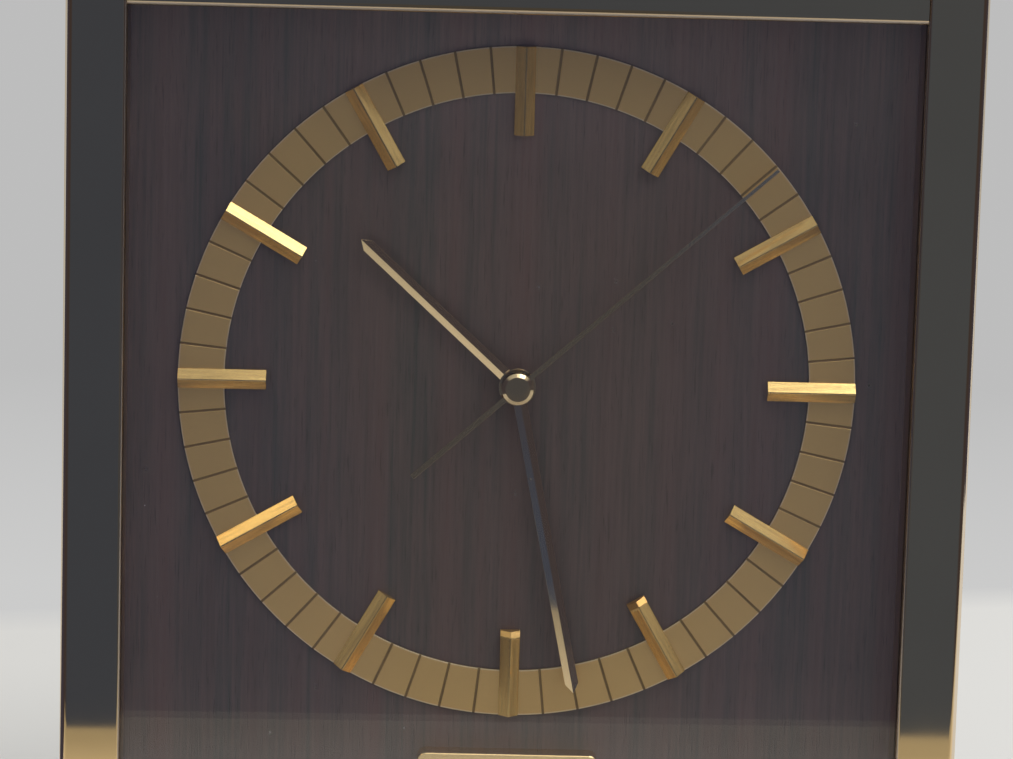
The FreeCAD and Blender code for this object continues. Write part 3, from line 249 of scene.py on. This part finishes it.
# ---------------------------------------------------------------- materials
BRASS = (0.86, 0.62, 0.31)
EDGE_REFLECTION_BRASS = rgb(0.80, 0.70, 0.56)       # painted reflection: rounded edges paler, the pale table mirrored in them
EDGE_SHADE_BRASS = rgb(0.46, 0.40, 0.34)       # painted shade: the rounded edges beside the glass, darker
BESIDE_GLASS = 0.7 * MM                  # how far from the opening that is
WORN_ROUGH = 0.3

RING_BRASS = (0.82, 0.55, 0.235)
RIM_HIGHLIGHT_BRASS = rgb(0.98, 0.80, 0.56)        # painted highlight on the ring's edges
LINE_BROWN = rgb(0.40, 0.28, 0.14)       # the dark filling of its lines
LINE_DEPTHS = (0.04 * MM, 0.12 * MM)     # the brass gives way to it between these

END_GLINT_BRASS = rgb(0.72, 0.40, 0.13)       # painted highlight: the upper ends of the hour bars at 5 and 6 warmer, a warm lamp mirrored there
LOW_BARS = -25 * MM                      # both lie lower than this below the axis ...
RIGHT_BARS = -8 * MM                     # ... and right of this
AT_SIX, AT_FIVE = 8 * MM, 14 * MM        # left of the first is the bar at 6, right of the second at 5
LEANED_END_SPAN = (2.0 * MM, 1.5 * MM)         # the lean and the painted highlight grow between these distances from the bar's end
LEANED_END_RAGGED = 0.8 * MM
END_LEANS = (-0.5, -0.36)               # how the surface leans toward the axis, at 6 and at 5

WOOD_GREY = rgb(0.057, 0.052, 0.046)
WOOD_RED = rgb(0.099, 0.057, 0.051)
WOOD_LIGHT = rgb(0.107, 0.071, 0.063)
WOOD_PORE = rgb(0.028, 0.02, 0.018)

GLASS_EDGE = 70 * MM                     # how far from the middle a pane's two leans are given

BAND_L = 16 * MM                         # coloured band at the cell's plus end
PLUS_L, MINUS_L = 1.8 * MM, 0.6 * MM     # bare steel at its ends


def polished(name, colour, gloss, scratch_depth, edge=None):
    """Polished metal with faint clouding and fine scratches."""
    g = Finish(name)
    point = g.position()
    clouds = g.noise(point, 45, 4)
    tint = g.mix(clouds, shade(colour, 0.94), shade(colour, 1.04))
    scratches = g.noise(point, 900, 3, 0.6)
    fine = g.noise(point, 5200, 2)
    dulling = g.math("ADD", clouds, g.product(fine, 0.4))
    gloss_map = g.spread(dulling, 0.4, 1.1, gloss * 0.75, gloss * 1.35)
    normal = g.bump(scratches, scratch_depth, g.rounded(edge) if edge else None)
    return g.done(g.surface(tint, gloss_map, 1.0, normal))


def frame_bar(name, along):
    """Polished bar: long fine scratches; rounded edges painted paler as a painted reflection, and darker
    beside the glass as painted shade.
    """
    g = Finish(name)
    clouds = g.noise(g.position(), 45, 4)
    tint = g.mix(clouds, shade(BRASS, 0.94), shade(BRASS, 1.04))
    facing = g.facing()
    across, ahead, up = (g.math("ABSOLUTE", facing[axis]) for axis in "XYZ")
    squareness = g.math("MAXIMUM", ahead, g.math("MAXIMUM", across, up))
    wear_and_painted_edges = g.spread(squareness, 0.97, 0.80)
    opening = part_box("frame_post_right")[0].x
    beside_glass = g.math("LESS_THAN", g.math("ABSOLUTE", axis_value(g, "X")), opening + BESIDE_GLASS)
    # painted reflection on the rounded edges, painted shade on those beside the glass
    colour = g.mix(wear_and_painted_edges, tint, g.mix(beside_glass, EDGE_REFLECTION_BRASS, EDGE_SHADE_BRASS))
    dulled = g.product(wear_and_painted_edges, beside_glass, WORN_ROUGH)
    rough = g.math("MAXIMUM", g.spread(clouds, 0.3, 0.7, 0.04, 0.065), dulled)
    scratches = g.noise(g.position(along), 900, 3, 0.6)
    return g.done(g.surface(colour, rough, 1.0, g.bump(scratches, 0.0006 * MM)))


def satin(name, colour, rough, grain_depth, along):
    """Grained metal: short soft lines along one way."""
    g = Finish(name)
    grain = g.noise(g.position(along), 1500, 4, 0.65)
    clouds = g.noise(g.position(), 30, 3)
    mottle = g.product(g.math("ADD", grain, clouds), 0.5)
    tint = g.mix(mottle, shade(colour, 0.88), shade(colour, 1.08))
    gloss_map = g.spread(grain, 0.3, 0.7, rough * 0.9, rough * 1.1)
    return g.done(g.surface(tint, gloss_map, 1.0, g.bump(grain, grain_depth)))


def dented_ends(g):
    """The upper ends of the two low bars: where they lean, how strongly their painted highlight warms
    them, and how the surface leans there.
    """
    across, up, reach = from_axis(g)
    low_two = g.product(g.math("LESS_THAN", up, LOW_BARS), g.math("GREATER_THAN", across, RIGHT_BARS))
    inner_end = DIAL_R - MARKER_L
    ragged = g.product(g.noise(g.position(), 420, 2), LEANED_END_RAGGED)
    near_end = g.spread(g.math("ADD", reach, ragged), *(inner_end + end for end in LEANED_END_SPAN))
    leaned_end = g.product(low_two, near_end)
    end_lean = g.product(leaned_end, g.spread(across, AT_SIX, AT_FIVE, *END_LEANS))
    lean = g.math("DIVIDE", end_lean, reach)
    facing = g.facing()
    lean_across = g.math("ADD", g.product(across, lean), g.product(facing["X"], end_lean))
    lean_up = g.math("ADD", g.product(up, lean), g.product(facing["Z"], end_lean))
    # how strongly the painted highlight warms them, more at 5 than at 6
    painted_glint = g.product(leaned_end, g.spread(across, RIGHT_BARS, AT_FIVE, 0.2, 1.0))
    return leaned_end, painted_glint, g.vector(x=lean_across, z=lean_up)


def marker_bars(name, colour, gloss, milky):
    """Brass bars planed lengthways, under slightly milky lacquer that their ridges have lost."""
    g = Finish(name)
    leaned_end, painted_glint, inward = dented_ends(g)
    point = g.position()
    planing = g.noise(round_axis(g, 0.06), 1500, 3, 0.6)
    peel = g.noise(point, 1100, 2, 0.5)
    flecks = g.noise(point, 4200, 2, 0.6)
    streaks = g.mix(g.spread(planing, 0.34, 0.66), shade(colour, 0.76), shade(colour, 1.1))
    lacquered = g.mix(g.product(flecks, 0.5), streaks, shade(colour, 1.05))
    # painted highlight: warmer brass at the upper ends of the bars at 5 and 6
    tint = g.mix(painted_glint, lacquered, END_GLINT_BRASS)
    gloss_map = g.spread(flecks, 0.3, 0.7, gloss * 0.7, gloss * 1.3)
    rough = g.math("ADD", gloss_map, g.product(leaned_end, 0.2))
    ridge = g.spread(g.facing()["Y"], -0.9, -0.97)
    metallic = g.spread(ridge, 0, 1, 1 - milky, 1.0)
    shape = g.tilted(g.rounded(0.12 * MM), inward)
    normal = g.bump(planing, 0.008 * MM, g.bump(peel, 0.006 * MM, shape))
    return g.done(g.surface(tint, rough, metallic, normal))


def ring_brass():
    """Matt-lacquered brass with darkened engraved lines, and a painted highlight along its edges."""
    g = Finish("ring_brass")
    depth = axis_value(g, "Y")
    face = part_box("chapter_ring")[0].y
    engraved = g.spread(depth, *(face + line_depth for line_depth in LINE_DEPTHS))
    grain = g.noise(g.position(), 2600, 3, 0.6)
    clouds = g.noise(g.position(), 24, 3)
    mottle = g.product(g.math("ADD", grain, clouds), 0.5)
    tint = g.mix(mottle, shade(RING_BRASS, 0.9), shade(RING_BRASS, 1.1))
    reach = from_axis(g)[2]
    ring_in_r = DIAL_R - RING_W
    outer_rim = g.spread(reach, DIAL_R - 0.3 * MM, DIAL_R - 0.1 * MM)
    inner_rim = g.spread(reach, ring_in_r + 0.25 * MM, ring_in_r + 0.1 * MM)
    # painted highlight along the ring's outer and inner edges
    rim_highlight = g.product(g.math("MAXIMUM", outer_rim, inner_rim), 0.8)
    colour = g.mix(engraved, g.mix(rim_highlight, tint, RIM_HIGHLIGHT_BRASS), LINE_BROWN)
    normal = g.bump(grain, 0.006 * MM, g.rounded(0.25 * MM))
    return g.done(g.surface(colour, g.spread(engraved, 0, 1, 0.46, 0.75), 0.85, normal))


def wood_tone(g):
    """How light the panel is: darker midway to the sides; lighter at its upper, lower and side edges,
    which is painted light lifting the shade the frame casts there.
    """
    across, up, _ = from_axis(g)
    aside = g.math("ABSOLUTE", across)
    middle = g.spread(aside, 20 * MM, 48 * MM, 1.0, 0.86)
    # painted light at the side, upper and lower edges, against the frame's shade
    sides = g.spread(aside, 56 * MM, 67 * MM, 1.0, 1.3)
    upper = g.spread(up, 38 * MM, 62 * MM, 1.0, 1.4)
    lower = g.spread(up, -50 * MM, -66 * MM, 0.0, 0.25)
    return g.product(middle, sides, g.math("ADD", upper, lower))


def dark_wood():
    """Quarter-sawn dark hardwood with upright grain."""
    g = Finish("dark_wood")
    bands = g.noise(g.position((1, 1, 0.012)), 210, 3, 0.55, 0.15)
    fibres = g.noise(g.position((1, 1, 0.03)), 1300, 4, 0.6)
    pores = g.noise(g.position((1, 1, 0.055)), 3600, 2, 0.5)
    hue = g.mix(g.spread(bands, 0.36, 0.64), WOOD_GREY, WOOD_RED)
    lit = g.mix(g.spread(fibres, 0.32, 0.7), hue, WOOD_LIGHT)
    open_pore = g.spread(pores, 0.6, 0.72)
    fibre = g.mix(g.product(open_pore, 0.45), lit, WOOD_PORE)
    colour = g.scaled(fibre, wood_tone(g))
    height = g.math("SUBTRACT", g.product(fibres, 0.5), open_pore)
    return g.done(g.surface(colour, g.spread(fibres, 0.3, 0.7, 0.5, 0.38), 0.0, g.bump(height, 0.02 * MM)))


def clear_glass(name, tint, lean_left, lean_right):
    """Glass with a few specks of dust, hardly out of true: it leans a little differently left and right.

    Lamp light and soft light pass straight through.
    """
    g = Finish(name)
    specks = g.spread(g.spots(g.position(), 85), 0.022, 0.012)
    lean = g.spread(axis_value(g, "X"), -GLASS_EDGE, GLASS_EDGE, lean_left, lean_right)
    flat = g.node("ShaderNodeNewGeometry").outputs["Normal"]
    glass = g.surface(tint, g.product(specks, 0.5), 0.0, g.tilted(flat, g.vector(z=lean)),
                      Transmission_Weight=1.0, IOR=1.5)
    open_way = g.node("ShaderNodeBsdfTransparent")
    open_way.inputs["Color"].default_value = rgb(0.96, 0.97, 0.97)
    path = g.node("ShaderNodeLightPath")
    passing = g.math("MAXIMUM", path.outputs["Is Shadow Ray"], path.outputs["Is Diffuse Ray"])
    return g.done(g.either(passing, glass, open_way.outputs["BSDF"]))


def plastic(name, colour, rough, grain=0.02, wear_and_painted_edges=1.25):
    """Moulded plastic with a fine spark-eroded grain."""
    g = Finish(name)
    point = g.position()
    grain_map = g.noise(point, 2400, 3, 0.6)
    wear = g.noise(point, 60, 5, 0.6)
    tint = g.mix(wear, shade(colour, 1 / wear_and_painted_edges), shade(colour, wear_and_painted_edges))
    gloss_map = g.spread(wear, 0.3, 0.7, rough * 0.88, rough * 1.12)
    return g.done(g.surface(tint, gloss_map, 0.0, g.bump(grain_map, grain * MM)))


def plain_steel(name, colour, rough):
    """Steel with a fine even grain."""
    g = Finish(name)
    grain = g.noise(g.position(), 3200, 3, 0.7)
    tint = g.mix(grain, shade(colour, 0.85), shade(colour, 1.1))
    gloss_map = g.spread(grain, 0.3, 0.7, rough * 0.8, rough * 1.2)
    return g.done(g.surface(tint, gloss_map, 1.0, g.bump(grain, 0.006 * MM)))


def copper_winding():
    """Enamelled wire wound round the X axis, with painted shade between the turns."""
    g = Finish("copper_winding")
    turns = g.node("ShaderNodeTexWave", wave_type="BANDS", bands_direction="X")
    g.link(g.position(), turns.inputs["Vector"])
    turns.inputs["Scale"].default_value = 1400
    turns.inputs["Distortion"].default_value = 0.3
    ridges = turns.outputs["Fac"]
    # painted shade: darker in the grooves between the turns
    colour = g.mix(ridges, rgb(0.25, 0.09, 0.03), rgb(0.72, 0.30, 0.13))
    return g.done(g.surface(colour, 0.3, 0.8, g.bump(ridges, 0.05 * MM)))


def circuit_green():
    """A lacquered board with faint tracks."""
    g = Finish("circuit_green")
    tracks = g.node("ShaderNodeTexBrick")
    g.link(g.position(), tracks.inputs["Vector"])
    tracks.inputs["Scale"].default_value = 420
    tracks.inputs["Mortar Size"].default_value = 0.018
    tracks.inputs["Color1"].default_value = rgb(0.02, 0.10, 0.05)
    tracks.inputs["Color2"].default_value = rgb(0.025, 0.12, 0.055)
    tracks.inputs["Mortar"].default_value = rgb(0.05, 0.22, 0.09)
    soft = g.noise(g.position(), 700, 3)
    colour = g.mix(g.product(soft, 0.4), tracks.outputs["Color"], rgb(0.01, 0.05, 0.03))
    return g.done(g.surface(colour, g.spread(soft, 0.3, 0.7, 0.22, 0.38)))


def cell_jacket():
    """A plain two-tone sleeve with bare steel ends."""
    g = Finish("cell_jacket")
    low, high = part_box("battery")
    along = axis_value(g, "X")
    band = g.math("GREATER_THAN", along, high.x - BAND_L)
    wrinkle = g.noise(g.position(), 350, 4)
    sleeve = g.mix(band, rgb(0.030, 0.034, 0.045), rgb(0.50, 0.26, 0.09))
    wear_and_painted_edges = g.mix(g.product(wrinkle, 0.25), sleeve, rgb(0.11, 0.11, 0.12))
    plus_end = g.math("GREATER_THAN", along, high.x - PLUS_L)
    minus_end = g.math("LESS_THAN", along, low.x + MINUS_L)
    bare = g.math("ADD", plus_end, minus_end)
    colour = g.mix(bare, wear_and_painted_edges, rgb(0.62, 0.62, 0.6))
    gloss_map = g.spread(wrinkle, 0.3, 0.7, 0.26, 0.36)
    metallic = g.spread(bare, 0, 1, 0.5, 1.0)
    return g.done(g.surface(colour, gloss_map, metallic, g.bump(wrinkle, 0.03 * MM)))


def rubber():
    """Soft black rubber with shallow pits."""
    g = Finish("foot_rubber")
    pits = g.noise(g.position(), 1800, 4, 0.7)
    colour = g.mix(pits, rgb(0.012, 0.012, 0.012), rgb(0.035, 0.034, 0.033))
    return g.done(g.surface(colour, g.spread(pits, 0.3, 0.7, 0.7, 0.85), 0.0, g.bump(pits, 0.05 * MM)))


frame_brass = frame_bar("frame_brass", (1, 1, 0.05))
rail_brass = frame_bar("rail_brass", (0.05, 1, 1))
screw_brass = polished("screw_brass", (0.80, 0.58, 0.30), 0.16, 0.002 * MM)
spacer_brass = satin("spacer_brass", (0.50, 0.33, 0.18), 0.34, 0.003 * MM, (1, 1, 0.1))
marker_brass = marker_bars("marker_brass", (0.97, 0.66, 0.26), 0.12, 0.2)
hand_brass = polished("hand_brass", (0.92, 0.71, 0.42), 0.07, 0.0012 * MM, 0.05 * MM)
bezel_brass = satin("bezel_brass", (0.95, 0.70, 0.36), 0.18, 0.003 * MM, (0.06, 1, 1))
front_clear = clear_glass("front_clear", rgb(0.985, 0.995, 0.99), -0.0054, -0.004)
lens_clear = clear_glass("lens_clear", rgb(0.98, 0.985, 0.98), 0.002, -0.002)
steel = plain_steel("steel", (0.60, 0.60, 0.59), 0.28)
contact_steel = plain_steel("contact_steel", (0.68, 0.67, 0.62), 0.2)
magnet = plain_steel("magnet", (0.20, 0.20, 0.21), 0.4)
drum_ivory = plastic("drum_ivory", (0.74, 0.70, 0.60), 0.5, 0.01, 1.04)
wheel_black = plastic("wheel_black", (0.045, 0.045, 0.046), 0.42, 0.015)
cradle_black = plastic("cradle_black", (0.05, 0.05, 0.052), 0.5)
works_black = plastic("works_black", (0.028, 0.028, 0.03), 0.45)
gear_white = plastic("gear_white", (0.78, 0.77, 0.71), 0.4, 0.008, 1.03)
knob_black = plastic("knob_black", (0.05, 0.049, 0.048), 0.38, 0.012)
case_black = plastic("case_black", (0.034, 0.031, 0.029), 0.55, 0.05)
ink = plastic("ink", (0.018, 0.018, 0.02), 0.5, 0.005)

FINISHES = {
    frame_brass: ("frame_post_left", "frame_post_right"),
    rail_brass: ("frame_rail_top", "frame_rail_bottom"),
    screw_brass: ("frame_screws",),
    rubber(): ("feet",),
    front_clear: ("front_glass",),
    spacer_brass: ("glass_spacer",),
    dark_wood(): ("dial_panel",),
    ring_brass(): ("chapter_ring",),
    marker_brass: ("hour_markers",),
    bezel_brass: ("calendar_bezel",),
    lens_clear: ("calendar_lens",),
    drum_ivory: ("month_drum", "tens_drum", "units_drum"),
    wheel_black: ("month_thumbwheel", "tens_thumbwheel", "units_thumbwheel"),
    steel: ("drum_spindle", "thumbwheel_spindle", "cradle_screws", "movement_screws", "case_screws",
            "motor_stator"),
    cradle_black: ("calendar_cradle",),
    hand_brass: ("hour_hand", "minute_hand", "second_hand", "hand_cap"),
    works_black: ("movement_case", "movement_lid"),
    gear_white: ("hour_wheel", "cannon_pinion", "centre_wheel", "minute_wheel", "third_wheel",
                 "seconds_wheel", "train_bridge"),
    magnet: ("motor_rotor",),
    copper_winding(): ("motor_coil",),
    circuit_green(): ("circuit_board",),
    cell_jacket(): ("battery",),
    contact_steel: ("battery_contacts",),
    knob_black: ("setting_knob",),
    case_black: ("rear_case", "battery_door"),
}
for finish, names in FINISHES.items():
    for name in names:
        slots = NODES[name].data.materials
        for index in range(len(slots)):
            slots[index] = finish


# ---------------------------------------------------------------- numbers on the drums
DIGIT_SHARE = 0.69       # a digit's height as a share of the type size
INK_T = 0.02 * MM


def number(text, height):
    """A flat-lying number in plain type, a hair thick, centred on the origin."""
    curve = bpy.data.curves.new("number", "FONT")
    curve.body = text
    curve.size = height / DIGIT_SHARE
    curve.align_x = "CENTER"
    curve.align_y = "CENTER"
    curve.extrude = INK_T
    made = bpy.data.objects.new("number", curve)
    bpy.context.scene.collection.objects.link(made)
    bpy.context.view_layer.update()
    mesh = bpy.data.meshes.new_from_object(made)
    bpy.data.objects.remove(made)
    columns = [[vertex.co[axis] for vertex in mesh.vertices] for axis in (0, 1)]
    centre_x, centre_y = ((min(column) + max(column)) / 2 for column in columns)
    mesh.transform(Matrix.Translation((-centre_x, -centre_y, 0)))
    return mesh


def join_meshes(name, meshes, material):
    """One object made of all the meshes."""
    work = bmesh.new()
    for mesh in meshes:
        work.from_mesh(mesh)
        bpy.data.meshes.remove(mesh)
    joined = bpy.data.meshes.new(name)
    work.to_mesh(joined)
    work.free()
    joined.materials.append(material)
    made = bpy.data.objects.new(name, joined)
    bpy.context.scene.collection.objects.link(made)
    return made


def drum_numbers(drum, body, labels, flat_low, flat_high):
    """One number on each flat of a drum, the first one facing the window."""
    low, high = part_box(drum)
    axis_y, axis_z = (low.y + high.y) / 2, (low.z + high.z) / 2
    middle = (flat_low + flat_high) / 2
    apothem = DRUM_R * math.cos(math.pi / len(labels))
    upright = Matrix.Rotation(math.pi / 2, 4, "X")
    meshes = []
    for k, label in enumerate(labels):
        mesh = number(label, DIGIT_H)
        turn = Matrix.Rotation(k * 2 * math.pi / len(labels), 4, "X")
        mesh.transform(Matrix.Translation((middle, axis_y, axis_z)) @ turn
                       @ Matrix.Translation((0, -apothem, 0)) @ upright)
        meshes.append(mesh)
    piece = join_meshes(drum.replace("drum", "numbers"), meshes, ink)
    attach(piece, body)


# Each drum's numbers, and where across the clock its numbered part starts and ends.
drum_numbers("month_drum", "month_group", [str(k + 1) for k in range(12)], -12.3 * MM, -3.1 * MM)
drum_numbers("tens_drum", "tens_group", [str(k % 4) for k in range(12)], -0.3 * MM, 5.9 * MM)
drum_numbers("units_drum", "units_group", [str(k) for k in range(10)], 6.2 * MM, 12.3 * MM)


# ---------------------------------------------------------------- stage
PALE = rgb(0.77, 0.767, 0.757)          # table-top as the camera sees it
PALE_SPECK = rgb(0.60, 0.59, 0.57)
FAR_IN_METAL = rgb(0.41, 0.405, 0.39)   # and as polished metal mirrors it, at its front edge
NEAR_IN_METAL = rgb(0.72, 0.705, 0.70)  # and close to the clock
FAR_PALE = rgb(0.510, 0.510, 0.510)     # backdrop, and lighter where it meets the table
LOW_PALE = rgb(0.60, 0.60, 0.597)
DARK_LEFT = rgb(0.050, 0.070, 0.150)    # unlit room in front of the clock
DARK_RIGHT = rgb(0.064, 0.087, 0.165)
DARK_MIDDLE = rgb(0.066, 0.072, 0.098)
DARK_WIDE = rgb(0.052, 0.047, 0.070)
ROOM_LOW = rgb(0.32, 0.33, 0.35)
ROOM_HIGH = rgb(0.64, 0.64, 0.63)

TABLE_SIZE = 12
TABLE_FRONT = -0.169                    # depth of the front edge, which mirrors alone see ...
FRONT_SLANT = -0.04                     # ... and what each metre to the right adds to it
TABLE_BACK = (0.225, 0.250)             # depths where the table blends into the backdrop ...
BACK_SLANT = 0.2                        # ... and what each metre to the right adds to them
UNLIT_SIDES = (-0.17, 0.5)              # past these, mirrors see the unlit room beside the table ...
UNLIT_BACK = 0.05                       # ... up to this depth


def dark_room(g, across, depth):
    """Colour of the unlit room: bluish, neutral where the camera stands and far off to the sides."""
    slant = g.math("DIVIDE", across, g.math("ADD", g.math("ABSOLUTE", depth), 0.25))
    aside = g.math("ABSOLUTE", g.math("SUBTRACT", slant, 0.02))
    away = g.math("MAXIMUM", g.spread(aside, 0.05, 0.1), g.spread(depth, -0.9, -1.6))
    blue = g.mix(g.spread(slant, -0.08, 0.14), DARK_LEFT, DARK_RIGHT)
    return g.mix(g.spread(aside, 0.26, 0.40), g.mix(away, DARK_MIDDLE, blue), DARK_WIDE)


def table_top(g, depth, mirrored):
    """Matt pale board, greyer in mirrors."""
    fibres = g.noise(g.position(), 900, 3)
    seen = g.mix(g.product(fibres, 0.06), PALE, PALE_SPECK)
    in_metal = g.mix(g.spread(depth, -0.155, -0.12), FAR_IN_METAL, NEAR_IN_METAL)
    board = g.node("ShaderNodeBsdfDiffuse")
    g.link(g.mix(mirrored, seen, in_metal), board.inputs["Color"])
    return board.outputs["BSDF"]


def off_the_table(g, across, depth):
    """1 past the front edge of the table and beside it, else 0."""
    front_edge = g.math("ADD", g.product(across, FRONT_SLANT), TABLE_FRONT)
    beyond = g.math("LESS_THAN", depth, front_edge)
    left, right = UNLIT_SIDES
    beside = g.math("MAXIMUM", g.math("GREATER_THAN", across, right), g.math("LESS_THAN", across, left))
    return g.math("MAXIMUM", beyond, g.product(beside, g.math("LESS_THAN", depth, UNLIT_BACK)))


def stage_floor():
    """A pale table against a pale backdrop. Mirrors see its front edge, and the unlit room past it."""
    g = Finish("stage_pale")
    across, depth = axis_value(g, "X"), axis_value(g, "Y")
    mirrored = g.node("ShaderNodeLightPath").outputs["Is Glossy Ray"]
    backdrop = g.glow(g.mix(g.spread(depth, 0.26, 0.60), LOW_PALE, FAR_PALE))
    from_back = g.math("SUBTRACT", depth, g.product(across, BACK_SLANT))
    floor = g.either(g.spread(from_back, *TABLE_BACK), table_top(g, depth, mirrored), backdrop)
    unlit = g.product(off_the_table(g, across, depth), mirrored)
    return g.done(g.either(unlit, floor, g.glow(dark_room(g, across, depth))))


def plane(name, size, material):
    """A flat square about the origin, as part of the stage."""
    bpy.ops.mesh.primitive_plane_add(size=size)
    made = bpy.context.object
    made.name = name
    made.data.materials.append(material)


plane("stage_floor", TABLE_SIZE, stage_floor())


def room():
    """Soft light from all round, brighter overhead and to the right.

    Mirrors see it unlit low in front; the camera and what looks through the glass see the backdrop.
    """
    world = bpy.data.worlds.new("room")
    world.use_nodes = True
    g = Graph(world.node_tree)
    coordinate = g.node("ShaderNodeTexCoord")
    parts = g.node("ShaderNodeSeparateXYZ")
    g.link(coordinate.outputs["Generated"], parts.inputs["Vector"])
    across, depth, up = (parts.outputs[axis] for axis in "XYZ")
    path = g.node("ShaderNodeLightPath").outputs
    lit = g.scaled(g.mix(g.spread(up, 0.0, 0.9), ROOM_LOW, ROOM_HIGH),
                   g.spread(across, -1.0, 1.0, 0.62, 1.48))
    low = g.spread(up, 0.46, 0.64, 1.0, 0.0)
    in_front = g.spread(depth, -0.30, -0.42)
    not_diffuse = g.math("SUBTRACT", 1.0, path["Is Diffuse Ray"])
    unlit = g.product(low, in_front, not_diffuse)
    light = g.mix(unlit, lit, dark_room(g, across, depth))
    behind = g.product(path["Is Glossy Ray"], g.spread(depth, 0.1, 0.3))
    not_mirrored = g.math("LESS_THAN", path["Glossy Depth"], 0.5)
    through_glass = g.product(path["Is Transmission Ray"], not_mirrored)
    seen = g.math("MAXIMUM", path["Is Camera Ray"], through_glass)
    colour = g.mix(g.math("MAXIMUM", seen, behind), light, FAR_PALE)
    g.link(colour, g.tree.nodes["Background"].inputs["Color"])
    bpy.context.scene.world = world


room()


def lamp(name, centre, size_x, size_y, radiance, colour):
    """A flat panel that shines straight down."""
    data = bpy.data.lights.new(name, "AREA")
    data.shape = "RECTANGLE"
    data.size = size_x
    data.size_y = size_y
    data.energy = radiance * math.pi * size_x * size_y
    data.color = colour
    made = bpy.data.objects.new(name, data)
    bpy.context.scene.collection.objects.link(made)
    made.location = centre


lamp("softbox_key", (0.54, -0.30, 1.2), 0.68, 1.1, 3.6, (1.0, 0.985, 0.95))
lamp("softbox_middle", (0.06, -0.30, 1.2), 0.28, 1.0, 1.0, (1.0, 0.97, 0.90))
lamp("softbox_left", (-0.93, -0.38, 1.2), 0.32, 0.6, 1.3, (1.0, 0.80, 0.45))


# ---------------------------------------------------------------- camera
# The place is in the part's frame. The turns are about the dial's axes: x across, y up, z to the front.
CAMERA_PLACE = (-0.01895, -0.66322, 0.20315)
FOCAL_PIXELS = 3700
IMAGE_WIDTH = 1013
SENSOR_W = 36.0
NEAR_CLIP = 0.01
PITCH, YAW, ROLL = (math.radians(angle) for angle in (9.15, 1.49, -1.33))


def camera():
    """The one camera, above the dial's middle and looking slightly down."""
    turn = Matrix.Rotation(ROLL, 3, "Z") @ Matrix.Rotation(YAW, 3, "Y") @ Matrix.Rotation(PITCH, 3, "X")
    dial_axes = Matrix(((1, 0, 0), (0, 0, -1), (0, 1, 0)))
    axes = dial_axes @ turn.transposed()
    data = bpy.data.cameras.new("camera")
    data.sensor_width = SENSOR_W
    data.lens = FOCAL_PIXELS * SENSOR_W / IMAGE_WIDTH
    data.clip_start = NEAR_CLIP
    made = bpy.data.objects.new("camera", data)
    bpy.context.scene.collection.objects.link(made)
    made.matrix_world = Matrix.Translation(CAMERA_PLACE) @ axes.to_4x4()
    bpy.context.scene.camera = made


camera()
bpy.context.scene.view_settings.view_transform = "Standard"
